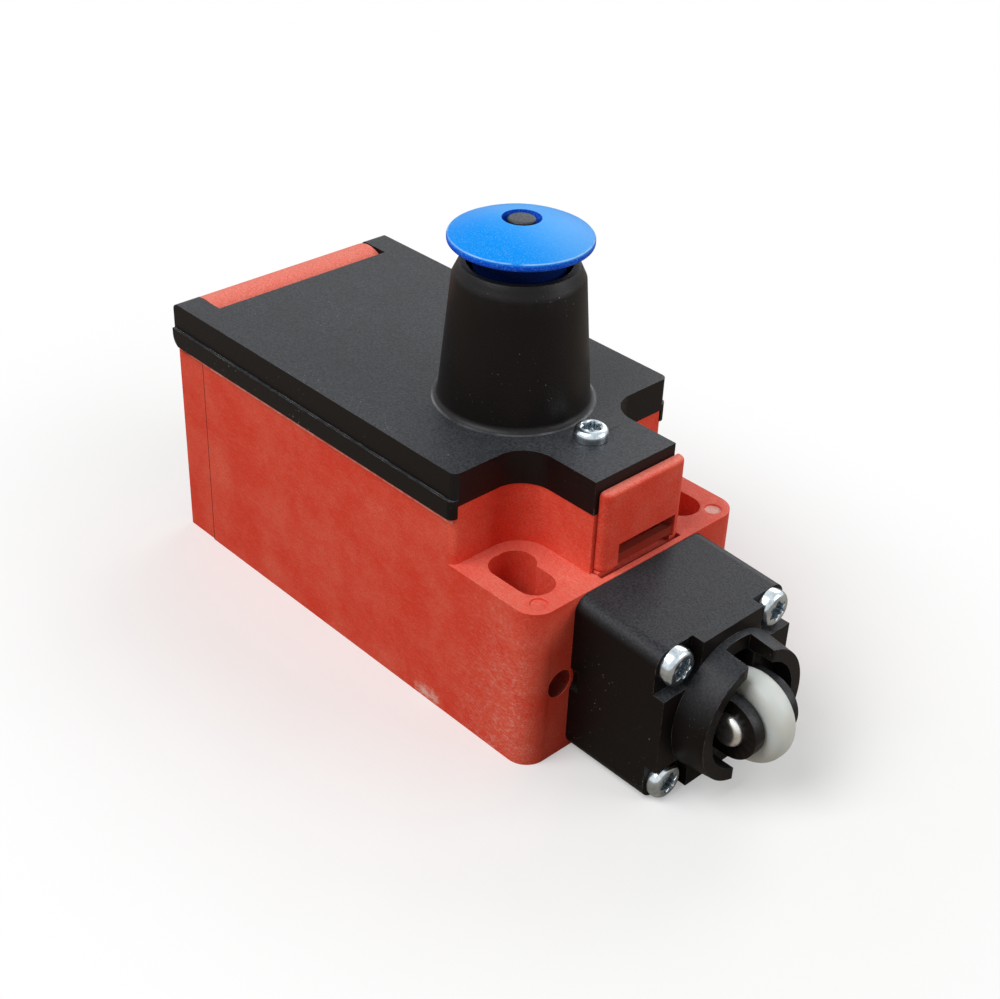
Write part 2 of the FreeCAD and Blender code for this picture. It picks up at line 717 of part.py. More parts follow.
def head_lock():
    """Red slide in front of the tongue: a plate with a barred window over a fork in the neck's groove."""
    across = ("-lock_left", "lock_right")
    plate = block("lock_plate", (LOCK_REAR, LOCK_FRONT), across, (LOCK_STEP, LOCK_TOP))
    face = size("tongue_front") + size("run_gap") + size("lock_wall")
    plate = rounded("lock_soft", plate, size("lock_edge"), upright(lambda at: near(at.x, face)))
    top = size("side_height") + size("cover_rise") - size("lock_drop")
    foot = size("ear_height") + size("lock_step")
    plate = rounded("lock_ended", plate, size("lock_edge") * 0.45,
                    lambda at, heading: (near(at.z, top) or near(at.z, foot))
                    and at.x > face - size("lock_edge") * 1.01)
    fork = block("lock_fork", (LOCK_REAR, FORK_FRONT), across, ("lock_foot", LOCK_STEP))
    through = (LOCK_REAR + " - cut_past", LOCK_FRONT + " + cut_past")
    window = block("lock_window", through, WINDOW_SPAN, ("ear_height - window_sink", WINDOW_TOP))
    fork_round = rod("fork_round", "x", "groove_radius + run_gap", through, AXIS_AT)
    fork_mouth = block("fork_mouth", through, ("-(groove_radius + run_gap)", "groove_radius + run_gap"),
                       ("lock_foot - cut_past", "axis_height"))
    slide = cut("lock_slide", fuse("lock_solid", [plate, fork]), [window, fork_round, fork_mouth])
    bar = block("lock_bar", (LOCK_REAR, LOCK_FRONT + " - bar_sink"), WINDOW_SPAN, (BAR_LOW, BAR_TOP))
    piece(fuse("head_lock", [slide, bar]), "head_lock")


def corner_spots():
    """The four corners of the head as (name, Y sign, Z sign)."""
    return [("%s_%s" % (row, word), y, z) for row, z in (("low", -1), ("high", 1)) for y, word in SIDES]


def corner_at(y, z):
    """A corner screw's axis."""
    return ("%d * screw_pitch_y / 2" % y, "axis_height + %d * screw_pitch_z / 2" % z)


def corner_seat(word, y, z):
    """Open notch in a corner of the head's face, rounded where it meets the block."""
    rows = ("axis_height + seat_inner_z", "axis_height + head_height / 2 + cut_past")
    if z < 0:
        rows = ("axis_height - head_height / 2 - cut_past", "axis_height - seat_inner_z")
    seat = block("seat_" + word, (HEAD_FRONT + " - seat_depth", HEAD_FRONT + " + cut_past"),
                 span_y(y, "seat_inner_y", "head_width / 2 + cut_past"), rows)
    side = y * size("seat_inner_y")
    level = size("axis_height") + z * size("seat_inner_z")
    return rounded("seat_soft_" + word, seat, size("seat_corner"),
                   lambda at, heading: abs(heading.x) > 0.99 and near(at.y, side) and near(at.z, level))


def head_cube():
    """The head's block, whose top falls a little towards the front as a mould's draft leaves it."""
    wedge = doc.addObject("Part::Wedge", "head_wedge")
    low = "axis_height - head_height / 2"
    high = "axis_height + head_height / 2"
    bounds = {
        "Ymin": "body_front", "Xmin": "-head_width / 2", "Xmax": "head_width / 2",
        "Zmin": low, "Zmax": high + " + head_draft",
        "Ymax": HEAD_FRONT, "X2min": "-head_width / 2", "X2max": "head_width / 2",
        "Z2min": low, "Z2max": high,
    }
    for prop, text in bounds.items():
        wedge.setExpression(prop, formula(text))
    wedge.Placement = FreeCAD.Placement(FreeCAD.Vector(), FreeCAD.Rotation(FreeCAD.Vector(0, 0, 1), -90))
    return wedge


def head_body():
    """Black head block with a slotted collar, open corner seats and the stepped plunger bore."""
    cube = rounded("head_soft", head_cube(), size("head_edge"), lambda at, heading: abs(heading.x) > 0.99)
    seats = [corner_seat(*corner) for corner in corner_spots()]
    collar_end = HEAD_FRONT + " + collar_length"
    collar = turned("collar", "x", AXIS_AT, [
        (HEAD_FRONT, "0"), (HEAD_FRONT, "collar_foot"), (collar_end, "collar_front"), (collar_end, "0")])
    solid = fuse("head_solid", [cut("head_seated", cube, seats), collar])
    bores = turned("head_bores", "x", AXIS_AT, [
        ("body_front", "0"),
        ("body_front", "plunger_flange + side_gap"),
        (SHOULDER_X, "plunger_flange + side_gap"),
        (SHOULDER_X, "plunger_bore + run_gap"),
        (collar_end + " + cut_past", "plunger_bore + run_gap"),
        (collar_end + " + cut_past", "0"),
    ])
    recess = block("flange_recess", ("body_front - cut_past", FLANGE_FRONT),
                   ("-(flange_y / 2 + seat_gap)", "flange_y / 2 + seat_gap"),
                   ("axis_height - flange_z / 2 - seat_gap", "axis_height + flange_z / 2 + seat_gap"))
    slot = block("collar_slot_cut", (HEAD_FRONT + " + slot_floor", collar_end + " + cut_past"),
                 ("-collar_slot / 2", "collar_slot / 2"),
                 ("axis_height - head_height", "axis_height + head_height"))
    holes = [screw_bore("head_hole_" + word, "x", ("body_front", HEAD_FRONT), corner_at(y, z))
             for word, y, z in corner_spots()]
    nicks = [rod("nick_%s" % word, "x", "pilot_radius + nick_extra",
                 ("body_front - cut_past", "body_front + nick_length"),
                 ("%d * pilot_pitch / 2" % side, "axis_height")) for side, word in SIDES]
    piece(cut("head_body", solid, [bores, recess, slot] + holes + nicks), "head_body")


def head_neck():
    """Flange behind the head with the grooved neck that plugs into the body."""
    flange = block("neck_flange", ("body_front", FLANGE_FRONT), ("-flange_y / 2", "flange_y / 2"),
                   ("axis_height - flange_z / 2", "axis_height + flange_z / 2"))
    seal_low = "body_front - seal_back - seal_width / 2 - run_gap"
    seal_high = "body_front - seal_back + seal_width / 2 + run_gap"
    neck = turned("neck", "x", AXIS_AT, [
        (NECK_REAR, "0"),
        (NECK_REAR, "neck_radius"),
        (seal_low, "neck_radius"),
        (seal_low, "seal_floor"),
        (seal_high, "seal_floor"),
        (seal_high, "neck_radius"),
        (LOCK_REAR + " - run_gap", "neck_radius"),
        (LOCK_REAR + " - run_gap", "groove_radius"),
        (FORK_FRONT + " + run_gap", "groove_radius"),
        (FORK_FRONT + " + run_gap", "neck_radius"),
        (FLANGE_FRONT, "neck_radius"),
        (FLANGE_FRONT, "0"),
    ])
    bore = rod("neck_bore", "x", "rod_radius + run_gap",
               (NECK_REAR + " - cut_past", FLANGE_FRONT + " + cut_past"), AXIS_AT)
    past = ("body_front - cut_past", FLANGE_FRONT + " + cut_past")
    holes = [screw_bore("flange_hole_" + word, "x", past, corner_at(y, z)) for word, y, z in corner_spots()]
    piece(cut("head_neck", fuse("neck_solid", [flange, neck]), [bore] + holes), "head_neck")


def neck_seal():
    """Square-section seal in the neck's groove."""
    low = "body_front - seal_back - seal_width / 2"
    high = "body_front - seal_back + seal_width / 2"
    piece(turned("neck_seal", "x", AXIS_AT, [
        (low, "seal_floor + seat_gap"),
        (low, "neck_radius + seat_gap"),
        (high, "neck_radius + seat_gap"),
        (high, "seal_floor + seat_gap"),
    ]), "neck_seal")


def head_screws():
    """Four screws in the corner seats, through the block into the flange behind it."""
    seat = HEAD_FRONT + " - seat_depth"
    shapes = [screw("head_screw_" + word, "x", corner_at(y, z), "body_front + shank_short", seat,
                    seat + " + screw_head_rise", "screw_shank", "screw_head")
              for word, y, z in corner_spots()]
    piece(fuse("head_screws", shapes), "head_screws")


def plunger():
    """Black plunger: stop flange, round stem with a spring pocket and a fork with rounded arms."""
    rear = SHOULDER_X + " - run_gap - flange_length"
    front = SHOULDER_X + " - run_gap"
    stem = turned("plunger_stem", "x", AXIS_AT, [
        (rear, "spring_seat"),
        (rear, "plunger_flange"),
        (front, "plunger_flange"),
        (front, "plunger_bore"),
        ("stem_front", "plunger_bore"),
        ("stem_front", "0"),
        (SPRING_SEAT_X, "0"),
        (SPRING_SEAT_X, "spring_seat"),
    ])
    arms = []
    for side, word in SIDES:
        across = span_y(side, FORK_HALF, FORK_HALF + " + arm_wall")
        arms.append(block("arm_bar_" + word, ("stem_front - cut_past", "roller_centre"), across,
                          ("axis_height - arm_radius", "axis_height + arm_radius")))
        arms.append(rod("arm_end_" + word, "y", "arm_radius", across, ROLLER_AT))
    gap = block("fork_gap", ("roller_centre - roller_radius - side_gap", "stem_front + cut_past"),
                ("-(%s)" % FORK_HALF, FORK_HALF), ("-axis_height", "3 * axis_height"))
    hole = rod("pin_hole", "y", "pin_radius + seat_gap", ("-head_width", "head_width"), ROLLER_AT)
    piece(cut("plunger", fuse("plunger_solid", [stem] + arms), [gap, hole]), "plunger")


def roller():
    """White roller with a rounded rim."""
    wheel = turned("roller_wheel", "y", ROLLER_AT, [
        ("-roller_width / 2", "pin_radius + seat_gap"),
        ("-roller_width / 2", "roller_radius"),
        ("roller_width / 2", "roller_radius"),
        ("roller_width / 2", "pin_radius + seat_gap"),
    ])
    rim = size("roller_radius")
    x, z = size("roller_centre"), size("axis_height")
    soft = rounded("roller_soft", wheel, size("roller_round"),
                   lambda at, heading: abs(heading.y) < 0.5 and near(math.hypot(at.x - x, at.z - z), rim))
    piece(soft, "roller")


def roller_pin():
    """Riveted pin with a low domed head on each arm."""
    outer = FORK_HALF + " + arm_wall"
    pin = turned("pin", "y", ROLLER_AT, [
        ("-(%s + pin_dome)" % outer, "0"),
        ("-(%s + pin_dome)" % outer, "pin_head"),
        ("-(%s)" % outer, "pin_head"),
        ("-(%s)" % outer, "pin_radius"),
        (outer, "pin_radius"),
        (outer, "pin_head"),
        (outer + " + pin_dome", "pin_head"),
        (outer + " + pin_dome", "0"),
    ])
    end = size("roller_width") / 2 + size("side_gap") + size("arm_wall") + size("pin_dome")
    dome = rounded("pin_domed", pin, size("pin_dome") * 0.9,
                   lambda at, heading: near(abs(at.y), end) and abs(heading.y) < 0.5)
    piece(dome, "roller_pin")


def push_rod():
    """Rod from the plunger's spring pocket through the neck to the slider's nose."""
    piece(rod("push_rod", "x", "rod_radius", ("-slider_front + run_gap", SPRING_SEAT_X), AXIS_AT), "push_rod")


def block_screw_spots():
    """The two screws that hold the contact block down."""
    across = BLOCK_HALF + " - block_screw_inset"
    along = BLOCK_FRONT + " - block_screw_back"
    return [(word, (along, "%d * (%s)" % (side, across))) for side, word in SIDES]


def block_slab(name, low, high):
    """One half of the contact block before its cuts."""
    return block(name, (BLOCK_REAR, BLOCK_FRONT), ("-(%s)" % BLOCK_HALF, BLOCK_HALF), (low, high))


def channel(name, low, high):
    """The slider's way through the contact block."""
    return block(name, (CHANNEL_REAR, BLOCK_FRONT + " + cut_past"),
                 ("-(slider_width / 2 + side_gap)", "slider_width / 2 + side_gap"), (low, high))


def contact_base():
    """Lower half of the contact block with the slider's channel and the bridge bays."""
    room = {
        "front": ("plunger_travel + bay_room", "bridge_wall + blade_wall + bay_room"),
        "rear": ("plunger_travel + blade_wall + bay_room + seat_gap", "bridge_wall + bay_room"),
    }
    bays = [block(word + "_bay", ("%s - (%s)" % (back, room[word][0]), "%s + %s" % (back, room[word][1])),
                  ("-(bridge_length / 2 + bay_room)", "bridge_length / 2 + bay_room"),
                  ("axis_height - bridge_height / 2 - bay_room", BASE_TOP + " + cut_past"))
            for word, back in BRIDGES]
    past = ("floor_wall - cut_past", BASE_TOP + " + cut_past")
    holes = [screw_bore("base_hole_" + word, "z", past, spot) for word, spot in block_screw_spots()]
    way = channel("base_channel", "slider_low - side_gap", BASE_TOP + " + cut_past")
    slab = block_slab("base_slab", "floor_wall", BASE_TOP)
    piece(cut("contact_base", slab, [way] + bays + holes), "contact_base")


def lid_ribs():
    """Barrier ribs on the contact block: one beside each row of terminals and one across each row."""
    inner = "terminal_pitch / 2 - tab_width / 2 - rib_gap - rib_wall"
    rise = (LID_LOW, LID_TOP + " + rib_rise")
    ribs = []
    for side, word in SIDES:
        ribs.append(block("rib_" + word, (BLOCK_REAR, BLOCK_FRONT),
                          span_y(side, inner, inner + " + rib_wall"), rise))
        ribs.append(block("cross_rib_" + word,
                          (REAR_BRIDGE + " - rib_wall / 2", REAR_BRIDGE + " + rib_wall / 2"),
                          span_y(side, inner, BLOCK_HALF), rise))
    return ribs


def contact_lid():
    """Upper half of the contact block with the latch window, blade slits and barrier ribs."""
    past = (LID_LOW + " - cut_past", LID_TOP + " + cut_past")
    way = channel("lid_channel", LID_LOW + " - cut_past", SLIDER_TOP + " + side_gap")
    window = block("latch_window", ("-(tower_back + latch_radius + window_behind)",
                                    "-(tower_back - latch_radius - window_ahead)"),
                   ("-(latch_radius + window_side)", "latch_radius + window_side"), past)
    slits = [block("slit_%s_%s" % (word, hand), (blade + " - blade_wall - run_gap", blade + " + run_gap"),
                   span_y(side, "blade_inner - run_gap", "bridge_length / 2 + run_gap"), past)
             for word, blade in blade_fronts() for side, hand in SIDES]
    holes = [screw_bore("lid_hole_" + word, "z", past, spot) for word, spot in block_screw_spots()]
    well = (LID_TOP + " - terminal_depth", LID_TOP + " + cut_past")
    wells = [rod("lid_well_%s" % word, "z", "terminal_shank + screw_gap", well, spot)
             for word, spot in terminal_spots()]
    solid = fuse("lid_solid", [block_slab("lid_slab", LID_LOW, LID_TOP)] + lid_ribs())
    piece(cut("contact_lid", solid, [way, window] + slits + holes + wells), "contact_lid")


def contact_slider():
    """Moving carrier: two bridge slots, the latch notch and a spring pocket."""
    bar = block("slider_bar", (SLIDER_REAR, "-slider_front"), ("-slider_width / 2", "slider_width / 2"),
                ("slider_low", SLIDER_TOP))
    half = "bridge_height / 2 + seat_gap"
    slots = [block("slider_slot_" + word, (back + " - seat_gap", back + " + bridge_wall + seat_gap"),
                   ("-slider_width", "slider_width"), ("axis_height - (%s)" % half, "axis_height + " + half))
             for word, back in BRIDGES]
    notch = block("latch_notch", ("-(tower_back + latch_radius + side_gap - plunger_travel)",
                                  "-(tower_back - latch_radius - side_gap - plunger_travel)"),
                  ("-slider_width", "slider_width"),
                  (SLIDER_TOP + " - notch_depth", SLIDER_TOP + " + cut_past"))
    pocket = rod("slider_pocket", "x", "slider_coil + wire_radius + side_gap",
                 (SLIDER_REAR + " - cut_past", SLIDER_SEAT), AXIS_AT)
    piece(cut("contact_slider", bar, slots + [notch, pocket]), "contact_slider")


def bridges():
    """Two flat contact bars across the slider."""
    for word, back in BRIDGES:
        bar = block(word + "_bridge", (back, back + " + bridge_wall"),
                    ("-bridge_length / 2", "bridge_length / 2"),
                    ("axis_height - bridge_height / 2", "axis_height + bridge_height / 2"))
        piece(bar, word + "_bridge")


def blade_fronts():
    """Where the front face of each pair of fixed blades stands."""
    return [("opening", FRONT_BRIDGE + " + bridge_wall + seat_gap + blade_wall"),
            ("closing", REAR_BRIDGE + " - plunger_travel - seat_gap")]


def terminal_spots():
    """The four terminal screws, each behind its blade."""
    return [("%s_%s" % (word, hand), (blade + " - terminal_shift", "%d * terminal_pitch / 2" % side))
            for word, blade in blade_fronts() for side, hand in SIDES]


def fixed_contacts():
    """Two pairs of L-shaped strips: a blade that a bridge meets and a tab under a terminal screw."""
    spots = dict(terminal_spots())
    for word, front in blade_fronts():
        strips = []
        for side, hand in SIDES:
            tag = "%s_%s" % (word, hand)
            blade = block("blade_" + tag, (front + " - blade_wall", front),
                          span_y(side, "blade_inner", "bridge_length / 2"),
                          ("axis_height - bridge_height / 2", LID_TOP + " + blade_wall"))
            tab = block("tab_" + tag, (front + " - tab_length", front),
                        span_y(side, "(terminal_pitch - tab_width) / 2", "(terminal_pitch + tab_width) / 2"),
                        (LID_TOP, LID_TOP + " + blade_wall"))
            hole = rod("tab_hole_" + tag, "z", "terminal_shank + screw_gap",
                       (LID_TOP + " - cut_past", LID_TOP + " + blade_wall + cut_past"), spots[tag])
            strips.append(cut("strip_" + tag, fuse("strip_solid_" + tag, [blade, tab]), [hole]))
        piece(fuse(word + "_contacts", strips), word + "_contacts")


def clamp_plates():
    """Square washer under each terminal screw."""
    low = LID_TOP + " + blade_wall"
    shapes = []
    for word, (x, y) in terminal_spots():
        plate = block("clamp_" + word, (x + " - clamp_size / 2", x + " + clamp_size / 2"),
                      (y + " - clamp_size / 2", y + " + clamp_size / 2"), (low, low + " + clamp_wall"))
        hole = rod("clamp_hole_" + word, "z", "terminal_shank + screw_gap",
                   (low + " - cut_past", low + " + clamp_wall + cut_past"), (x, y))
        shapes.append(cut("clamp_plate_" + word, plate, [hole]))
    piece(fuse("clamp_plates", shapes), "clamp_plates")


def terminal_screws():
    """Four terminal screws."""
    seat = LID_TOP + " + blade_wall + clamp_wall"
    foot = LID_TOP + " - terminal_depth + shank_short"
    shapes = [screw("terminal_screw_" + word, "z", spot, foot, seat, seat + " + terminal_rise",
                    "terminal_shank", "terminal_head") for word, spot in terminal_spots()]
    piece(fuse("terminal_screws", shapes), "terminal_screws")


def block_screws():
    """Two screws through the contact block into the floor."""
    foot = "floor_wall - floor_hole_depth + shank_short"
    shapes = [screw("block_screw_" + word, "z", spot, foot, LID_TOP, LID_TOP + " + screw_head_rise",
                    "screw_shank", "block_head") for word, spot in block_screw_spots()]
    piece(fuse("block_screws", shapes), "block_screws")


def coil(node, along, radius, span, at, turns):
    """Compression spring between two seats: a six-sided wire swept along a helix."""
    length = "(%s) - (%s) - 2 * wire_radius - 2 * seat_gap" % (span[1], span[0])
    helix = doc.addObject("Part::Helix", node + "_line")
    helix.setExpression("Radius", formula(radius))
    helix.setExpression("Height", formula(length))
    helix.setExpression("Pitch", formula("(%s) / %d" % (length, turns)))
    turn(helix, along, "(%s) + wire_radius + seat_gap" % span[0], at)
    section = doc.addObject("Part::RegularPolygon", node + "_wire")
    section.Polygon = 6
    section.setExpression("Circumradius", formula("wire_radius"))
    doc.recompute()
    edge = helix.Shape.Edges[0]
    start = edge.valueAt(edge.FirstParameter)
    heading = edge.tangentAt(edge.FirstParameter)
    section.Placement = FreeCAD.Placement(start, FreeCAD.Rotation(FreeCAD.Vector(0, 0, 1), heading))
    sweep = doc.addObject("Part::Sweep", node)
    sweep.Sections = [section]
    sweep.Spine = (helix, ["Edge1"])
    sweep.Solid = True
    sweep.Frenet = True
    piece(sweep, node)


def springs():
    """Return springs of the plunger, the reset stem and the slider."""
    coil("plunger_spring", "x", "plunger_coil", (FLANGE_FRONT, SPRING_SEAT_X), AXIS_AT, 4)
    coil("reset_spring", "z", "reset_coil",
         (STEM_SEAT + " + flange_wall", CEILING + " - ceiling_wall"), TOWER_AT, 6)
    coil("slider_spring", "x", "slider_coil", (CHANNEL_REAR, SLIDER_SEAT), AXIS_AT, 7)


for make in (housing, cover, cover_gasket, cover_screw, stem_guide, reset_stem, reset_knob, head_lock,
             head_body, head_neck, neck_seal, head_screws, plunger, roller, roller_pin, push_rod,
             contact_base, contact_lid, contact_slider, bridges, fixed_contacts, clamp_plates,
             terminal_screws, block_screws, springs):
    make()
doc.recompute()

for item in doc.Objects:
    if "Invalid" in item.State or "Error" in item.State:
        raise ValueError("%s did not recompute: %s" % (item.Label, item.State))
for item in PIECES:
    if item.Shape.isNull() or not item.Shape.isValid():
        raise ValueError("%s has no valid shape" % item.Label)
os.makedirs("parts", exist_ok=True)
for item in PIECES:
    item.Shape.exportStep("parts/%s.step" % item.Label)
    print("%-18s solids %d volume %9.2f mm3" % (item.Label, len(item.Shape.Solids), item.Shape.Volume))
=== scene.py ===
# %% [markdown]
# # A roller-plunger limit switch with a pull-to-reset knob
# The object is a small safety switch for machines: a red moulded body, a black hinged cover with a
# tower and a blue mushroom cap, and a black head from which a white roller is pushed in. The solids
# come from CAD and are loaded first as a fixed frame. This lesson gives them finishes, adds the fine
# pieces that CAD leaves plain, and lights them as a small studio would.

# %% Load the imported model
import json
import math

import bmesh
import bpy
from mathutils import Matrix, Vector


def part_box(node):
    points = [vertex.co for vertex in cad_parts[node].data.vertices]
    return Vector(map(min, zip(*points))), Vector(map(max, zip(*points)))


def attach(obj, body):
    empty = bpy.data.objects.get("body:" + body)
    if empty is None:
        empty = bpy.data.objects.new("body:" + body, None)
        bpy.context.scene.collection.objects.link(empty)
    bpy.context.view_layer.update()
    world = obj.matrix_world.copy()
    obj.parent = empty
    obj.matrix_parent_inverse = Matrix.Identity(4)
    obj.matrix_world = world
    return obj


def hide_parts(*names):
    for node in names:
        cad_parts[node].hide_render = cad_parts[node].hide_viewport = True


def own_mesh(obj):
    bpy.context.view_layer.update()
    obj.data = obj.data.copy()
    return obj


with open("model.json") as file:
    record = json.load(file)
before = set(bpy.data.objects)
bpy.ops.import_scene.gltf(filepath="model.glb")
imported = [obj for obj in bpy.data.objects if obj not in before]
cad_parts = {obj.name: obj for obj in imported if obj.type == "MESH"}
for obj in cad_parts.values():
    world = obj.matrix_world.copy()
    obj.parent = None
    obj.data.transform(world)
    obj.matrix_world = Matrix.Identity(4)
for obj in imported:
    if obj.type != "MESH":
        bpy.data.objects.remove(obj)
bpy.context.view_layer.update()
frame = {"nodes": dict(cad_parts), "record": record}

MM = 0.001
nodes = frame["nodes"]
print("nodes:", len(nodes))

# %% [markdown]
# ## Camera
# The picture was taken from above the roller's end, a little to one side, with a short telephoto lens.
# A camera can be aimed by eye, but here its place was worked out from the object's straight edges, so
# it is set by numbers: where it stands, the two angles it looks along, a small roll and the focal length.

# %% Camera
CAMERA_AT = Vector((93.201, -106.612, 115.509)) * MM
CAMERA_AZIMUTH = math.radians(45.5023)
CAMERA_ELEVATION = math.radians(32.8236)
CAMERA_ROLL = math.radians(2.4842)
# The lens is given in millimetres, as on a real camera, and its shift as a share of the picture's width.
FOCAL_LENGTH = 58.662
SENSOR_WIDTH = 36.0
LENS_SHIFT = (0.00325, -0.00885)
NEAREST = 10 * MM

forward = Vector((
    -math.sin(CAMERA_AZIMUTH) * math.cos(CAMERA_ELEVATION),
    math.cos(CAMERA_AZIMUTH) * math.cos(CAMERA_ELEVATION),
    -math.sin(CAMERA_ELEVATION),
))
level = forward.cross(Vector((0, 0, 1))).normalized()
upward = level.cross(forward)
top = math.cos(CAMERA_ROLL) * upward - math.sin(CAMERA_ROLL) * level
side = math.cos(CAMERA_ROLL) * level + math.sin(CAMERA_ROLL) * upward

lens = bpy.data.cameras.new("studio_camera")
lens.lens = FOCAL_LENGTH
lens.sensor_width = SENSOR_WIDTH
lens.shift_x, lens.shift_y = LENS_SHIFT
lens.clip_start = NEAREST
camera = bpy.data.objects.new("studio_camera", lens)
bpy.context.scene.collection.objects.link(camera)
turned = Matrix((side, top, -forward)).transposed().to_4x4()
camera.matrix_world = Matrix.Translation(CAMERA_AT) @ turned
bpy.context.scene.camera = camera
print("camera stands", round(CAMERA_AT.length / MM), "mm from the origin")

# %% [markdown]
# ## Helpers for materials
# A colour is easiest to read as the hex code that a paint program shows, but shaders work in linear
# light, so one function turns one into the other. A second small function adds a shader node together
# with its settings and links and hands back the socket that the next node needs. The steps that finishes
# repeat then have a function each, such as laying one colour over another, stretching a value from one
# range to another, or making a cloudy pattern of a given size. With them a finish reads as a recipe.

# %% Colour and node helpers
PRINCIPLED = "ShaderNodeBsdfPrincipled"
SURFACE = "ShaderNodeOutputMaterial"
COORDINATES = "ShaderNodeTexCoord"
PATH = "ShaderNodeLightPath"
NOISE = "ShaderNodeTexNoise"
RANGE = "ShaderNodeMapRange"
MIX = "ShaderNodeMix"
MATH = "ShaderNodeMath"
APART = "ShaderNodeVectorMath"
STRETCH = "ShaderNodeMapping"
SPLIT = "ShaderNodeSeparateXYZ"
BUMP = "ShaderNodeBump"
# The Mix node's colour sockets are told apart by number: under, over and result.
MIX_A, MIX_B, MIX_OUT = 6, 7, 2


def linear(code):
    """Turn an sRGB hex colour into the linear colour that shaders use."""
    shares = [int(code[start:start + 2], 16) / 255 for start in (1, 3, 5)]
    return [s / 12.92 if s <= 0.04045 else ((s + 0.055) / 1.055) ** 2.4 for s in shares] + [1.0]


def plug(tree, node, inputs):
    """Give a node's sockets their values or links."""
    for socket, value in inputs.items():
        if isinstance(value, bpy.types.NodeSocket):
            tree.links.new(value, node.inputs[socket])
        else:
            node.inputs[socket].default_value = value


def add(tree, kind, inputs, out=0, **settings):
    """Add one node with its settings and inputs, and hand back one of its output sockets."""
    node = tree.nodes.new(kind)
    for name, value in settings.items():
        setattr(node, name, value)
    plug(tree, node, inputs)
    return node.outputs[out] if node.outputs else None


print("signal red in linear light:", [round(c, 3) for c in linear("#E84631")])

# %% Steps that finishes repeat
def per_mm(grain):
    """The pattern scale at which one feature is about this many millimetres across."""
    return 1 / (grain * MM)


def blend(tree, share, under, over):
    """Lay one colour over another by a share; each is a hex code or the socket of an earlier step."""
    under, over = (linear(colour) if isinstance(colour, str) else colour for colour in (under, over))
    return add(tree, MIX, {0: share, MIX_A: under, MIX_B: over}, MIX_OUT, data_type="RGBA")


def ramp(tree, value, start, stop, low=0.0, high=1.0, smooth=False):
    """Stretch a value from the range start to stop onto low to high, and hold it beyond the ends."""
    ends = {"Value": value, "From Min": start, "From Max": stop, "To Min": low, "To Max": high}
    return add(tree, RANGE, ends, interpolation_type="SMOOTHSTEP" if smooth else "LINEAR")


def times(tree, first, second, clamp=False):
    """Multiply two values, and hold the product between 0 and 1 where asked."""
    return add(tree, MATH, {0: first, 1: second}, operation="MULTIPLY", use_clamp=clamp)


def larger(tree, first, second):
    """The larger of two values."""
    return add(tree, MATH, {0: first, 1: second}, operation="MAXIMUM")


def near(tree, value, target, reach):
    """1 where a value lies within reach of a target, else 0."""
    return add(tree, MATH, {0: value, 1: target, 2: reach}, operation="COMPARE")


def distance(tree, spot, point):
    """How far a place is from a point."""
    return add(tree, APART, {0: spot, 1: point}, "Value", operation="DISTANCE")


def noise(tree, spot, grain, detail, rough=0.5):
    """A cloudy pattern with features about this many millimetres across."""
    return add(tree, NOISE, {"Vector": spot, "Scale": per_mm(grain), "Detail": detail, "Roughness": rough})


def streaks(tree, spot, sizes, detail, rough=0.5):
    """A cloudy pattern stretched to these sizes, in millimetres along X, Y and Z."""
    scales = Vector([per_mm(size) for size in sizes])
    stretched = add(tree, STRETCH, {"Vector": spot, "Scale": scales})
    return add(tree, NOISE, {"Vector": stretched, "Scale": 1.0, "Detail": detail, "Roughness": rough})


def bumps(tree, height, strength, depth):
    """Relief from a pattern, its depth in millimetres."""
    return add(tree, BUMP, {"Height": height, "Strength": strength, "Distance": depth * MM})


def axes(tree, vector, names):
    """The named parts of a vector: X, Y or Z."""
    return {axis: add(tree, SPLIT, {0: vector}, axis) for axis in names}


def start_material(name):
    """A new material with its tree, its Principled shader and the place that its patterns are laid on."""
    material = bpy.data.materials.new(name)
    material.use_nodes = True
    tree = material.node_tree
    tree.nodes.clear()
    shader = tree.nodes.new(PRINCIPLED)
    add(tree, SURFACE, {"Surface": shader.outputs["BSDF"]})
    spot = add(tree, COORDINATES, {}, "Object")
    return material, tree, shader, spot


print("grain of 0.2 mm takes a pattern scale of", round(per_mm(0.2)))

# %% [markdown]
# ## Studio
# The object stands on a plain pale table under a large soft lamp. A real studio would sweep white
# paper up behind it; here the world itself is white to the camera and to reflections, and a quieter
# grey to everything else, so that the lamps alone shape the object. The floor takes the shadow near
# the object and fades to the white of the world further away.

# %% World
WORLD_FILL = 0.22
WHITE = (1, 1, 1, 1)

world = bpy.data.worlds.new("white_studio")
bpy.context.scene.world = world
world.use_nodes = True
air = world.node_tree
air.nodes.clear()
rays = air.nodes.new(PATH).outputs
seen = larger(air, rays["Is Camera Ray"], rays["Is Glossy Ray"])
glow = ramp(air, seen, 0.0, 1.0, WORLD_FILL, 1.0)
backdrop = add(air, "ShaderNodeBackground", {"Color": WHITE, "Strength": glow})
add(air, "ShaderNodeOutputWorld", {"Surface": backdrop})
print("world fill", WORLD_FILL)

# %% Floor
FLOOR_HALF = 1500 * MM
FADE_NEAR = 40 * MM
FADE_FAR = 100 * MM
FADE_MIDDLE = Vector((-14, 0, 0)) * MM
FADE_SQUEEZE = Vector((1.0, 1.5, 1.0))
FADE_START = 0.3

corners = [(-1, -1, 0), (1, -1, 0), (1, 1, 0), (-1, 1, 0)]
floor_mesh = bpy.data.meshes.new("pale_table")
floor_mesh.from_pydata([Vector(corner) * FLOOR_HALF for corner in corners], [], [(0, 1, 2, 3)])
floor = bpy.data.objects.new("pale_table", floor_mesh)
bpy.context.scene.collection.objects.link(floor)

# White melamine board is matte and has only a trace of grain.
board, tree, shader, spot = start_material("white_melamine_board")
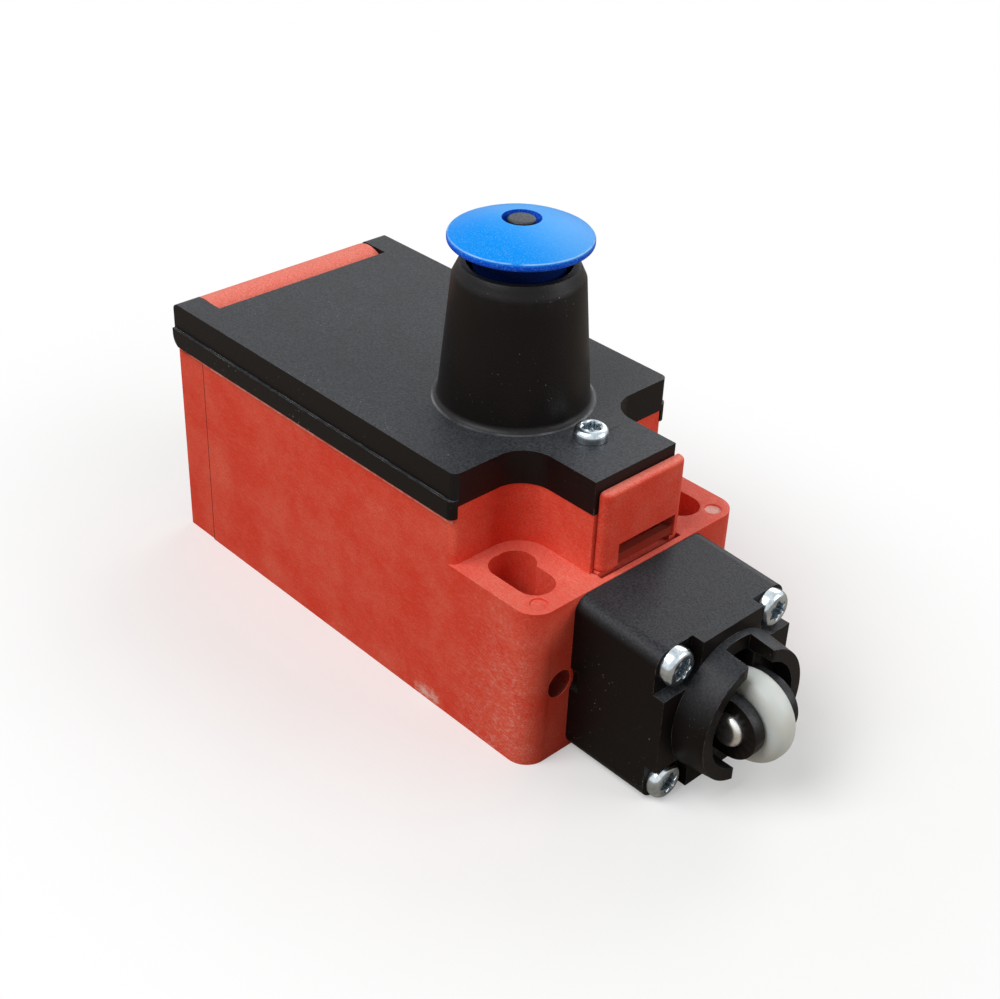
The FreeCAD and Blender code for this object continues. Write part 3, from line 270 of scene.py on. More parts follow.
# Only the camera sees it white: reflections and bounced light find a darker bench.
seen = tree.nodes.new(PATH).outputs["Is Camera Ray"]
grain = noise(tree, spot, 9, 3.0)
tint = blend(tree, grain, "#F5F5F3", "#F9F9F8")
bounce = blend(tree, seen, "#A0978C", tint)
plug(tree, shader, {"Base Color": bounce, "Roughness": 0.75, "Specular IOR Level": 0.2})
oval = add(tree, STRETCH, {"Vector": spot, "Scale": FADE_SQUEEZE})
away = distance(tree, oval, FADE_MIDDLE)
fade = ramp(tree, away, FADE_NEAR, FADE_FAR, FADE_START, smooth=True)
blank = times(tree, fade, seen)
paper = add(tree, "ShaderNodeEmission", {"Color": WHITE, "Strength": 1.0})
mixed = add(tree, "ShaderNodeMixShader", {0: blank, 1: shader.outputs["BSDF"], 2: paper})
add(tree, SURFACE, {"Surface": mixed}, is_active_output=True)
floor_mesh.materials.append(board)
print("floor is", round(2 * FLOOR_HALF, 1), "m across")

# %% Lamps
AIM = Vector((-14, 0, 18)) * MM
LAMPS = {
    # name: place in mm, width in mm, power in watts
    "softbox_above_left": ((-70, -270, 395), 300, 1.65),
    "softbox_front_right": ((300, 220, 200), 220, 0.62),
    "softbox_behind": ((-120, 380, 240), 260, 0.45),
}


def soft_lamp(name, place, width, power):
    """A square area lamp that faces the object."""
    light = bpy.data.lights.new(name, "AREA")
    light.size = width * MM
    light.energy = power
    lamp = bpy.data.objects.new(name, light)
    bpy.context.scene.collection.objects.link(lamp)
    lamp.location = Vector(place) * MM
    lamp.rotation_euler = (AIM - lamp.location).to_track_quat("-Z", "Y").to_euler()


for name, lamp in LAMPS.items():
    soft_lamp(name, *lamp)
bpy.context.scene.view_settings.view_transform = "Standard"
print("lamps:", ", ".join(LAMPS))

# %% [markdown]
# ## Soft edges
# CAD corners are perfectly sharp, and no moulded or machined edge is: each has a small round that
# catches the light as a thin line. The CAD mesh itself is never changed, so the round is made by
# modifiers: Weld closes the seams of the imported mesh, Bevel rounds every corner, and Weighted
# Normal keeps the flat faces flat.

# %% Edge rounding for CAD nodes
EDGE_ROUND = {
    # node: radius in mm
    "housing": 0.15,
    "cover": 0.13,
    "head_body": 0.16,
    "head_lock": 0.10,
    "plunger": 0.10,
    "reset_stem": 0.14,
    "contact_lid": 0.12,
    "contact_base": 0.12,
    "contact_slider": 0.12,
    "clamp_plates": 0.10,
    "cover_gasket": 0.10,
    "stem_guide": 0.10,
}
CORNER_ANGLE = math.radians(32)
SEAM_GAP = 0.0005 * MM
FLAT_FACES_FIRST = 100


def soften(node, width):
    """Round the corners of one CAD node by modifiers; the rounds take the node's second material."""
    weld = node.modifiers.new("close_seams", "WELD")
    weld.merge_threshold = SEAM_GAP
    bevel = node.modifiers.new("round_corners", "BEVEL")
    bevel.width = width * MM
    bevel.segments = 2
    bevel.limit_method = "ANGLE"
    bevel.angle_limit = CORNER_ANGLE
    bevel.use_clamp_overlap = True
    bevel.material = 1
    flat = node.modifiers.new("keep_faces_flat", "WEIGHTED_NORMAL")
    flat.keep_sharp = False
    flat.weight = FLAT_FACES_FIRST


for name, width in EDGE_ROUND.items():
    soften(nodes[name], width)
print("softened:", ", ".join(EDGE_ROUND))

# %% [markdown]
# ## Red body plastic
# The body and the lock slide are moulded from polyamide filled with short glass fibres, coloured right
# through. The mould is spark-eroded, which leaves a fine dull grain; the fibres float up as pale
# streaks along the flow, and years of handling leave a chalky film on what looks up, a rubbed front
# corner and one chip. The film also carries painted top light, most of all on the hinge bar. The rounded
# corners carry a painted edge highlight besides their wear, the grain's pits carry painted shade, the
# rear step, the lock's window and the pilot holes are painted dark as shade, and under the cover's lip
# each side's top is a pale line of rub and painted highlight. A flat red would look like paint, so each
# of those is one pattern at its own real size, and the worn ones are laid where a hand or a spanner
# reaches. The recipe is told in four steps: the red itself, the rubbed places, the painted shade and
# marks, and the finished plastic.

# %% Where the red body is worn and marked, and where shade is painted on it
FIBRE = (0.7, 0.22, 0.22)
STROKE = (0.45, 0.2, 0.2)
FILM_AND_SHEEN_THIN, FILM_AND_SHEEN_THICK = 26 * MM, 30 * MM
RUB_BACK, RUB_FRONT = -7 * MM, 4 * MM
RUB_HIGH, RUB_LOW = 20 * MM, 2 * MM
CHIP_AT = Vector((-9.0, -15.5, 0.9)) * MM
CHIP_REACH = 1.1 * MM
CHIP_SQUEEZE = Vector((0.45, 1.0, 1.0))
MARK_AT = Vector((4.65, 13.15, 19.3)) * MM
MARK_RADIUS = 0.95 * MM
STEP_AT = -48.9 * MM
STEP_HALF = 0.14 * MM
WINDOW_MIDDLE = Vector((4.45, 1.25, 21.0)) * MM
WINDOW_HALF = Vector((1.05, 4.35, 1.55)) * MM
PILOT_AT = Vector((0, 11.2, 9.4)) * MM
PILOT_RADIUS = 1.65 * MM
PILOT_DEEP = 5.5 * MM
PILOT_HALF = 0.8 * MM
SEAM_AT = Vector((0, 15.5, 24.68)) * MM
SEAM_HALF = Vector((0, 0.2, 0.16)) * MM
print("chip is about", round(2 * CHIP_REACH / CHIP_SQUEEZE.x / MM, 1), "mm long")

# %% The red, its fibres and its film
def red_skin(tree, spot, place, facing):
    """Red with bloom clouds, fibre streaks along X and a chalky film with painted top light on upward faces.
    """
    # Bloom clouds, about 6 mm across, lift the red towards pink.
    cloud = noise(tree, spot, 6, 4.0, 0.62)
    bloom = ramp(tree, cloud, 0.38, 0.70)
    red = blend(tree, bloom, "#E84631", "#ED5F48")
    # Fibre streaks follow the way the plastic flowed into the mould.
    streak = ramp(tree, streaks(tree, spot, FIBRE, 3.0), 0.46, 0.78, high=0.22)
    streaked = blend(tree, streak, red, "#EC8272")
    # The film of chalk and painted top light is broken into strokes. It is thickest on the hinge bar at the
    # top, as a painted highlight.
    stroke = streaks(tree, spot, STROKE, 3.0, 0.6)
    chalk = ramp(tree, stroke, 0.3, 0.7, 0.6, 1.4)
    above = ramp(tree, place["Z"], FILM_AND_SHEEN_THIN, FILM_AND_SHEEN_THICK, 0.27, 0.6)
    level = ramp(tree, facing["Z"], 0.45, 1.0)
    film_and_sheen = times(tree, times(tree, level, above), chalk, clamp=True)
    # The pale film colour stands for chalk and for painted top light together.
    return blend(tree, film_and_sheen, streaked, "#F49C8C"), cloud, bloom, stroke


print("fibre streaks are", FIBRE[0], "mm long and", FIBRE[1], "mm wide")

# %% Rubbed places of the red
def red_rubbing(tree, spot, place, facing, under, bloom, stroke):
    """Short pale strokes on the front corner of the open side, and one chip on its lower edge."""
    # The corner is rubbed most of all low down.
    front = ramp(tree, place["X"], RUB_BACK, RUB_FRONT, smooth=True)
    low = ramp(tree, place["Z"], RUB_HIGH, RUB_LOW, 0.15, 1.0)
    flank = ramp(tree, facing["Y"], -0.35, -0.95)
    reach = times(tree, times(tree, front, low), flank)
    handled = add(tree, MATH, {0: bloom, 1: 0.22, 2: reach}, operation="MULTIPLY_ADD", use_clamp=True)
    # Strokes are about half a millimetre long and come in patches of about a millimetre.
    ragged = noise(tree, spot, 0.9, 4.0)
    patch = ramp(tree, ragged, 0.36, 0.64, 0.2, 0.75)
    dabs = times(tree, ramp(tree, stroke, 0.44, 0.68), patch)
    stroked = blend(tree, times(tree, dabs, handled), under, "#F0B0A2")
    # The chip shows the pale filled plastic under the skin; the strokes make its outline ragged.
    squeezed = add(tree, STRETCH, {"Vector": spot, "Scale": CHIP_SQUEEZE})
    gap = distance(tree, squeezed, CHIP_AT * CHIP_SQUEEZE)
    torn = add(tree, MATH, {0: stroke, 1: CHIP_REACH * 1.6, 2: gap}, operation="MULTIPLY_ADD")
    chip = ramp(tree, torn, CHIP_REACH * 1.75, CHIP_REACH * 1.2, high=1.5)
    crumb = times(tree, chip, patch, clamp=True)
    return blend(tree, crumb, stroked, "#F6C0B3"), ragged, patch


print("rubbed from", round(RUB_BACK / MM), "to", round(RUB_FRONT / MM), "mm along X")

# %% Painted shade and marks on the red
def red_marks_and_shade(tree, spot, place, under, patch):
    """Painted shade in the rear step, the lock's window and the pilot holes; a pale disc; a seam line of rub
    and painted highlight.
    """
    middle = add(tree, APART, {0: spot, 1: WINDOW_MIDDLE}, operation="SUBTRACT")
    share = add(tree, APART, {0: middle, 1: WINDOW_HALF}, operation="DIVIDE")
    size = axes(tree, add(tree, APART, {0: share}, operation="ABSOLUTE"), "XYZ")
    widest = larger(tree, larger(tree, size["X"], size["Y"]), size["Z"])
    window = ramp(tree, widest, 1.0, 0.9)
    # The pilot holes lie alike on both sides, so the sign of Y is dropped.
    across = add(tree, APART, {0: spot, 1: (0, 1, 1)}, operation="MULTIPLY")
    one_side = add(tree, APART, {0: across}, operation="ABSOLUTE")
    from_pilot = distance(tree, one_side, PILOT_AT)
    bored = add(tree, MATH, {0: from_pilot, 1: PILOT_RADIUS}, operation="LESS_THAN")
    pilot = times(tree, bored, near(tree, place["X"], PILOT_DEEP, PILOT_HALF))
    step = near(tree, place["X"], STEP_AT, STEP_HALF)
    # Painted shade: the rear step, the lock's window and the pilot holes are laid in dark red where shade
    # falls.
    painted_shade = larger(tree, step, larger(tree, pilot, window))
    shaded = blend(tree, times(tree, painted_shade, 0.74), under, "#3C0C07")
    # The ejector pin left one glassy pale disc.
    from_mark = distance(tree, spot, MARK_AT)
    disc = ramp(tree, from_mark, MARK_RADIUS, MARK_RADIUS * 0.9, high=0.7)
    marked = blend(tree, disc, shaded, "#F7CFC4")
    # Under the cover's lip the top of each side is a pale line, part rub and part painted highlight.
    outer = add(tree, MATH, {0: place["Y"]}, operation="ABSOLUTE")
    sideways = near(tree, outer, SEAM_AT.y, SEAM_HALF.y)
    upmost = near(tree, place["Z"], SEAM_AT.z, SEAM_HALF.z)
    seam = times(tree, times(tree, sideways, upmost), patch)
    return blend(tree, seam, marked, "#F8B4A6")


print("ejector mark is", round(2 * MARK_RADIUS / MM, 1), "mm across")

# %% Red glass-filled polyamide
POLYAMIDE_IOR = 1.53


def red_polyamide(name, worn):
    """Red polyamide: film, rubbing, painted shade, marks, grain; worn adds edge wear and painted edge
    highlight.
    """
    material, tree, shader, spot = start_material(name)
    place = axes(tree, spot, "XYZ")
    facing = axes(tree, add(tree, COORDINATES, {}, "Normal"), "YZ")
    skinned, cloud, bloom, stroke = red_skin(tree, spot, place, facing)
    chipped, ragged, patch = red_rubbing(tree, spot, place, facing, skinned, bloom, stroke)
    shade_and_marks = red_marks_and_shade(tree, spot, place, chipped, patch)
    # On the rounded corners, worn lays a pale red that is part wear and part painted edge highlight.
    rub = ramp(tree, ragged, 0.35, 0.65, 0.15 * worn, 0.75 * worn)
    rubbed = blend(tree, rub, shade_and_marks, "#F39C8C")
    # Spark grain is really about 0.05 mm; it is drawn at 0.16 mm so that it shows. Its pits get painted
    # shade.
    grain = noise(tree, spot, 0.16, 2.0)
    pit = ramp(tree, grain, 0.54, 0.32, high=0.3)
    pit_shaded = blend(tree, pit, rubbed, "#93200F")
    plug(tree, shader, {"Base Color": pit_shaded, "Normal": bumps(tree, grain, 0.25, 0.05),
                        "Roughness": ramp(tree, cloud, 0.0, 1.0, 0.42, 0.62),
                        "IOR": POLYAMIDE_IOR, "Specular IOR Level": 0.11})
    return material


red_body = red_polyamide("red_glass_filled_polyamide_moulded", 0.0)
red_worn_lit_edge = red_polyamide("red_glass_filled_polyamide_worn_lit_edge", 1.0)
print("made", red_body.name, "and", red_worn_lit_edge.name)

# %% [markdown]
# ## Black plastics
# The cover, its tower and the head are the same kind of filled polyamide in black. Seen from the side
# it is almost without light; seen from above it turns grey, from fine dust and from the light of the
# room that its tops reflect, which is painted here as part of the film. So the finish is built from a
# deep black, a grey film of dust and painted sheen that thickens on faces that look up, a sparkle of
# grain, a painted highlight as a pale line on the fillet at the tower's foot, here and there a white
# speck of lint, and grey dashes where corners are rubbed.

# %% Black glass-filled polyamide
FOOT = 30.5 * MM
CLEAN_RISE = FOOT + 0.01 * MM, FOOT + 0.1 * MM
FOOT_GLINT_RISE = FOOT + 0.006 * MM, FOOT + 0.02 * MM
FOOT_GLINT_FALL = FOOT + 0.12 * MM, FOOT + 0.04 * MM
GRIP_LOW, GRIP_HIGH = 27.5 * MM, 28.5 * MM
DASH = (3, 1, 1)


def black_polyamide(name, film_and_sheen, worn, gloss=0.19):
    """Moulded black polyamide: deep black sides, grey dust and painted sheen on top, grain and white specks.
    """
    material, tree, shader, spot = start_material(name)
    up = axes(tree, add(tree, COORDINATES, {}, "Normal"), "Z")["Z"]
    height = axes(tree, spot, "Z")["Z"]
    # The film of dust and painted sheen follows the upward faces and is broken by clouds about 6 mm across.
    upper = ramp(tree, up, 0.15, 0.95, high=film_and_sheen, smooth=True)
    cloud = noise(tree, spot, 6, 4.0, 0.6)
    patch = ramp(tree, cloud, 0.3, 0.7, 0.82, 1.1)
    # The film of dust and painted sheen is weaker above the tower's foot than on the plate it stands on.
    clean = ramp(tree, height, *CLEAN_RISE, 1.0, 0.35)
    haze = times(tree, times(tree, upper, clean), patch)
    # Grain of the eroded mould, drawn at 0.22 mm so that it shows, sparkles in the film.
    grain = noise(tree, spot, 0.22, 2.0)
    sparkle = ramp(tree, grain, 0.3, 0.7, 0.45, 1.55)
    fine = times(tree, haze, sparkle, clamp=True)
    # The grey film colour stands for dust and painted sheen together.
    dust_and_sheen = blend(tree, fine, "#0E0A09", "#53575D")
    # A painted highlight lies as a pale line on the fillet at the tower's foot.
    rise = ramp(tree, height, *FOOT_GLINT_RISE)
    fall = ramp(tree, height, *FOOT_GLINT_FALL)
    here = ramp(tree, cloud, 0.36, 0.6, high=0.6)
    foot_glint = times(tree, times(tree, rise, fall), here)
    foot_glinted = blend(tree, foot_glint, dust_and_sheen, "#8B8C90")
    # Lint: a few white specks, half a millimetre or less, gathered in places.
    lint = noise(tree, spot, 0.2, 0.0)
    dots = ramp(tree, lint, 0.80, 0.86, high=0.4)
    some = ramp(tree, cloud, 0.52, 0.62)
    specks = times(tree, dots, some)
    flecked = blend(tree, specks, foot_glinted, "#B9BBBD")
    # Corners rub to grey dashes a few millimetres long, most of all below the cover's top.
    grip = ramp(tree, height, GRIP_HIGH, GRIP_LOW, 0.35 * worn, worn)
    dashes = ramp(tree, streaks(tree, spot, DASH, 4.0, 0.7), 0.46, 0.58, 0.06)
    rub = times(tree, dashes, grip)
    rubbed = blend(tree, rub, flecked, "#C4C3C3")
    plug(tree, shader, {"Base Color": rubbed, "Normal": bumps(tree, grain, 0.3, 0.06),
                        "Roughness": ramp(tree, cloud, 0.0, 1.0, 0.34, 0.50),
                        "IOR": POLYAMIDE_IOR, "Specular IOR Level": gloss})
    return material


black_cover = black_polyamide("black_glass_filled_polyamide_moulded", 0.38, 0.0, 0.17)
black_edge = black_polyamide("black_glass_filled_polyamide_worn_edge", 0.38, 1.0, 0.17)
black_head = black_polyamide("black_polyamide_head_moulded", 0.32, 0.0, 0.13)
black_head_edge = black_polyamide("black_polyamide_head_worn_edge", 0.32, 0.3, 0.13)
black_stem = black_polyamide("black_acetal_stem_turned", 2.1, 0.0)
black_slide = black_polyamide("black_polyamide_oiled_slide", 0.24, 0.0)
print("made", black_cover.name, black_head.name, black_stem.name)

# %% [markdown]
# ## Blue cap
# The reset cap is unfilled acetal in a bright signal blue, moulded smooth. Its broad dome takes the
# light of the room and its thin rim looks deeper, so two blues are mixed by how far the face looks up,
# as painted top light. A paler blue is a painted highlight in fans across the dome, a broken pale line
# is a painted highlight on the round of the rim, and a dark one is painted shade on the hub under the
# cap. A faint sparkle of dust and painted glints lies on top.

# %% Blue acetal
RIM_LOW = 47.9 * MM
HUB_SHADE_FADE = 0.4 * MM
ACETAL_IOR = 1.48


def blue_acetal():
    """Smooth acetal: painted top light, painted fan and rim highlights, a satin gloss, dust and a painted
    dark hub.
    """
    material, tree, shader, spot = start_material("blue_acetal_moulded")
    facing = axes(tree, add(tree, COORDINATES, {}, "Normal"), "YZ")
    up = facing["Z"]
    height = axes(tree, spot, "Z")["Z"]
    # Painted top light: the dome is a paler blue where it looks up, the rim a deeper one.
    top_light = ramp(tree, up, 0.0, 0.98)
    top_lit_blue = blend(tree, top_light, "#0A52DE", "#0E97FA")
    # A painted highlight: the dome turns paler where it leans towards +Y and keeps its blue towards -Y.
    fan_highlight = ramp(tree, facing["Y"], -0.32, 0.12, high=0.42, smooth=True)
    blue = blend(tree, times(tree, fan_highlight, top_light), top_lit_blue, "#7AC2FA")
    # Dust specks and painted glints, about a sixth of a millimetre.
    dust = noise(tree, spot, 0.16, 2.0)
    dots = ramp(tree, dust, 0.50, 0.76, high=0.42)
    dust_and_glints = blend(tree, dots, blue, "#7CC0FA")
    # Painted shade: the hub under the cap is laid almost black.
    deep = ramp(tree, height, RIM_LOW, RIM_LOW - HUB_SHADE_FADE, high=0.9)
    hub_shaded = blend(tree, deep, dust_and_glints, "#081232")
    # A painted highlight lies as a broken bright line on the round of the rim.
    turning = ramp(tree, up, 0.50, 0.66)
    flat = ramp(tree, up, 0.84, 0.76)
    highlight_breaks = noise(tree, spot, 2.5, 2.0)
    broken = ramp(tree, highlight_breaks, 0.40, 0.60, high=0.8)
    rim_highlight = times(tree, times(tree, turning, flat), broken)
    rim_highlighted = blend(tree, rim_highlight, hub_shaded, "#A8DAFF")
    ripple = noise(tree, spot, 0.5, 2.0)
    plug(tree, shader, {"Base Color": rim_highlighted, "Normal": bumps(tree, ripple, 0.1, 0.05),
                        "Roughness": ramp(tree, ripple, 0.0, 1.0, 0.30, 0.46),
                        "IOR": ACETAL_IOR, "Specular IOR Level": 0.05})
    return material


blue_cap = blue_acetal()
print("made", blue_cap.name)

# %% [markdown]
# ## White roller plastic
# The roller is natural acetal: milky, a little see-through, so light soaks in and comes out nearby.
# Subsurface scattering gives that. Rolling on a cam leaves fine scratches round the rim.

# %% Natural acetal
SCRATCH = (1.6, 0.18, 1.6)
MILK_DEPTH = 1.8 * MM
MILK_SPREAD = (1.0, 0.9, 0.7)


def natural_acetal():
    """Turned natural acetal: milky depth, faint yellow clouds and fine scratches."""
    material, tree, shader, spot = start_material("natural_acetal_turned")
    cloud = noise(tree, spot, 3.5, 3.0)
    milk = blend(tree, cloud, "#D0DCE2", "#DBD7C8")
    # Scratches run round the rim and lie close together across it.
    scratch = streaks(tree, spot, SCRATCH, 3.0)
    plug(tree, shader, {"Base Color": milk, "Normal": bumps(tree, scratch, 0.12, 0.04),
                        "Roughness": ramp(tree, scratch, 0.0, 1.0, 0.30, 0.52), "IOR": ACETAL_IOR,
                        "Subsurface Weight": 0.6, "Subsurface Radius": MILK_SPREAD,
                        "Subsurface Scale": MILK_DEPTH, "Specular IOR Level": 0.4})
    return material


white_roller = natural_acetal()
print("made", white_roller.name)

# %% [markdown]
# ## Metals
# The screws are cold-headed steel with a bright zinc coat, the roller's pin is riveted steel, the
# springs are drawn wire and the contacts are stamped brass. All are mirrors at heart, so their colour
# is the metal's own tint, and what tells them apart is the roughness: blotchy zinc, hammered pin and
# dull wire.

# %% Steel and brass
def metal(name, tint, stain, blotch, sheen):
    """A bare or plated metal: its tint, a tint for stains, the blotch size and the roughness range."""
    material, tree, shader, spot = start_material(name)
    cloud = noise(tree, spot, blotch, 4.0, 0.6)
    colour = blend(tree, ramp(tree, cloud, 0.4, 0.75), tint, stain)
    scratch = noise(tree, spot, 0.2, 3.0)
    plug(tree, shader, {"Base Color": colour, "Normal": bumps(tree, scratch, 0.1, 0.02),
                        "Roughness": ramp(tree, cloud, 0.0, 1.0, *sheen), "Metallic": 1.0})
    return material


zinc = metal("bright_zinc_plated_steel", "#D4DFE6", "#9DA8B0", 0.9, (0.12, 0.30))
# The screws' recesses take a darker zinc as painted shade.
shaded_recess_zinc = metal("zinc_plated_steel_shaded_recess", "#B4BEC5", "#565D62", 0.45, (0.18, 0.36))
pin_steel = metal("riveted_hammered_steel", "#F0F1F0", "#C6C3BF", 0.7, (0.22, 0.42))
wire_steel = metal("drawn_spring_steel", "#A4A6A8", "#7E8082", 1.5, (0.25, 0.45))
brass = metal("stamped_contact_brass", "#D2AC58", "#A97F3A", 1.8, (0.20, 0.40))
print("made", zinc.name, pin_steel.name, wire_steel.name, brass.name)

# %% [markdown]
# ## Inner plastics and rubber
# When the cover is open, the contact block shows: two grey halves of filled polyester, a white slider
# and a black seal. They never see wear, so they only carry the grain of the mould and a little dust.

# %% Inner plastics and rubber
UNEVEN = 0.08


def clean_plastic(name, pale, deep, grit, rough, shine):
    """A plain moulded piece: two close tones in clouds, fine grain and an even dullness."""
    material, tree, shader, spot = start_material(name)
    cloud = noise(tree, spot, 5, 4.0)
    grain = noise(tree, spot, grit, 2.0)
    plug(tree, shader, {"Base Color": blend(tree, cloud, deep, pale), "Normal": bumps(tree, grain, 0.2, 0.05),
                        "Roughness": ramp(tree, grain, 0.0, 1.0, rough - UNEVEN, rough + UNEVEN),
                        "Specular IOR Level": shine})
    return material


grey_block = clean_plastic("grey_polyester_moulded", "#9A9D9E", "#83878A", 0.2, 0.52, 0.4)
white_slider = clean_plastic("white_acetal_moulded", "#ECEBE4", "#DDDCD3", 0.25, 0.42, 0.45)
seal_rubber = clean_plastic("black_nitrile_rubber_cut", "#262626", "#1B1B1B", 0.15, 0.75, 0.2)
print("made", grey_block.name, white_slider.name, seal_rubber.name)

# %% [markdown]
# ## Finishes on the CAD nodes
# Each CAD node comes with one slot that names its material. The slot is looked up in a table and gets
# two finishes: one for the faces, and one for the corners that the bevel has rounded.

# %% Hand the finishes to the CAD nodes
FINISHES = {
    # slot: finish of the faces, finish of the rounded corners
    "red_plastic": (red_body, red_worn_lit_edge),
    "black_plastic": (black_cover, black_edge),
    "head_black": (black_head, black_head_edge),
    "blue_plastic": (blue_cap, blue_cap),
    "stem_black": (black_stem, black_stem),
    "white_acetal": (white_roller, white_roller),
    "zinc_steel": (zinc, zinc),
    "pin_steel": (pin_steel, pin_steel),
    "spring_steel": (wire_steel, wire_steel),
    "contact_brass": (brass, brass),
    "grey_plastic": (grey_block, grey_block),
    "white_plastic": (white_slider, white_slider),
    "seal_rubber": (seal_rubber, seal_rubber),
}
for node in nodes.values():
    face, edge = FINISHES[node.material_slots[0].material.name]
    node.data.materials.clear()
    node.data.materials.append(face)
    node.data.materials.append(edge)
# The plunger is oiled where it slides, so it keeps a darker finish than the head around it.
for slot in nodes["plunger"].material_slots:
    slot.material = black_slide
print("finished", len(nodes), "nodes in", len(FINISHES) + 1, "finishes")

# %% [markdown]
# ## Screws
# CAD keeps a screw as a plain shank and disc. A real one is cold-headed: a pan head with a rounded
# shoulder and a driving recess, six-lobed on the screws outside and a cross on those inside. Cutting
# the recess with a boolean would leave ragged faces, so the whole skin is drawn as rings of points
# from the tip of the shank, up over the head and down into the recess. A ring's radius may change with
# the angle, and that one freedom gives the lobes of the recess and the thread on the shank as well.

# %% Skins made of rings
AROUND = 96
CREASE_ANGLE = math.radians(38)


def ring(shell, height, radius, frame_of):
    """One ring of points at a height; its radius is a number or a rule by angle and height."""
    row = []
    for step in range(AROUND):
        angle = 2 * math.pi * step / AROUND
        reach = radius(angle, height) if callable(radius) else radius
        point = Vector((reach * math.cos(angle), reach * math.sin(angle), height))
        row.append(shell.verts.new(frame_of @ point))
    return row


def join(shell, rows, loop=False, recess=0):
    """Join rows of points into one skin, closed by end faces or joined end to end.

    The last few bands may form a recess, which takes the second material."""
    pairs = list(zip(rows, rows[1:])) + ([(rows[-1], rows[0])] if loop else [])
    for number, (low, high) in enumerate(pairs):
        for here in range(len(low)):
            after = (here + 1) % len(low)
            face = shell.faces.new((low[here], low[after], high[after], high[here]))
            face.material_index = int(number >= len(pairs) - recess)
    if not loop:
        shell.faces.new(list(reversed(rows[0])))
        shell.faces.new(rows[-1]).material_index = int(recess > 0)


def skin(shell, rings, frame_of, **ways):
    """Draw rings of (height, radius) in a frame and join them."""
    join(shell, [ring(shell, height, radius, frame_of) for height, radius in rings], **ways)


def seated(centre, towards, twist):
    """The frame of a round piece: its seat's centre, the way it points, and its turn."""
    aim = Vector(towards).to_track_quat("Z", "Y").to_matrix().to_4x4()
    return Matrix.Translation(centre) @ aim @ Matrix.Rotation(math.radians(twist), 4, "Z")


def finish_piece(shell, name, materials, body, slot_name, *stands_for):
    """Turn a skin into an object that rides on a body and stands for CAD nodes."""
    bmesh.ops.recalc_face_normals(shell, faces=shell.faces)
    mesh = bpy.data.meshes.new(name)
    shell.to_mesh(mesh)
    shell.free()
    mesh.shade_smooth()
    mesh.set_sharp_from_angle(angle=CREASE_ANGLE)
    for material in materials:
        mesh.materials.append(material)
    piece = bpy.data.objects.new(name, mesh)
    bpy.context.scene.collection.objects.link(piece)
    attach(piece, body)
    if stands_for:
        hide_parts(*stands_for)
    print(name, "has", len(mesh.polygons), "faces")
    return piece


print("each ring has", AROUND, "points")

# %% Outlines of recesses and threads
LOBE_MIDDLE, LOBE_SWING = 0.86, 0.14
TINY = 1e-6


def six_lobes(reach):
    """The outline of a six-lobed driving recess."""
    return lambda angle, height: reach * (LOBE_MIDDLE + LOBE_SWING * math.cos(6 * angle))


def cross(reach, half_arm):
    """The outline of a cross recess: four arms of even width."""
    def outline(angle, height):
        off = abs((angle + math.pi / 4) % (math.pi / 2) - math.pi / 4)
        return min(reach / math.cos(off), half_arm / max(math.sin(off), TINY))
    return outline


def thread(core, depth, pitch):
    """A screw thread's radius: a rounded ridge that climbs one pitch in each turn."""
    return lambda angle, height: core + depth * 0.5 * (1 + math.cos(2 * math.pi * (height / pitch) - angle))


def scaled(outline, share):
    """The same outline, a little larger or smaller."""
    return lambda angle, height: share * outline(angle, height)


valley = six_lobes(1.0)(math.pi / 6, 0)
print("a lobe's valley lies at", round(valley, 2), "of its reach")

# %% Screw skin
RECESS = 3
SCREW_FINISH = (zinc, shaded_recess_zinc)
POINT, CORE, RIDGE = 0.6, 0.84, 0.16
POINT_RISE, RUN_IN, RUN_OUT = 0.15 * MM, 0.2 * MM, 0.2 * MM
NECK, EDGE = 0.1 * MM, 0.05 * MM
UNDERSIDE, STRAIGHT, CROWN, SHOULDER = 0.97, 0.42, 0.70, 0.56
THREAD_RINGS, SHOULDER_RINGS = 8, 8
# The recess has a rounded lip, walls that narrow a little, and a pointed floor. Its rings are shares of
# the head's rise or of the recess's depth, each with a share of the outline.
LIP = (1.0, 1.10), (0.985, 1.03), (0.94, 1.0)
FLOOR = (1.0, 0.92), (1.12, 0.55)
FLOOR_POINT, POINT_RADIUS = 1.2, 0.02 * MM


def screw_rings(shank, length, pitch, head, rise, outline, depth):
    """Rings of one screw, its head's seat at height 0: tip, thread, head, shoulder, recess, floor."""
    ridge = thread(shank * CORE, shank * RIDGE, pitch)
    turns = int(length / pitch * THREAD_RINGS)
    start = -length + RUN_IN
    rings = [(-length, shank * POINT), (-length + POINT_RISE, shank * CORE)]
    rings += [(start + (length - RUN_IN - RUN_OUT) * step / turns, ridge) for step in range(turns + 1)]
    rings += [(-NECK, shank), (0.0, shank), (0.0, head * UNDERSIDE), (EDGE, head), (rise * STRAIGHT, head)]
    for step in range(1, SHOULDER_RINGS + 1):
        turn = math.pi / 2 * step / SHOULDER_RINGS
        reach = head * (CROWN + (1 - CROWN) * math.cos(turn))
        rings.append((rise * (STRAIGHT + SHOULDER * math.sin(turn)), reach))
    rings += [(rise * level, scaled(outline, wide)) for level, wide in LIP]
    rings += [(rise - depth * level, scaled(outline, wide)) for level, wide in FLOOR]
    return rings + [(rise - depth * FLOOR_POINT, POINT_RADIUS)]


example = screw_rings(1.1 * MM, 6 * MM, 0.8 * MM, 2 * MM, 1.4 * MM, six_lobes(1.2 * MM), 0.9 * MM)
print("a 6 mm screw takes", len(example), "rings")

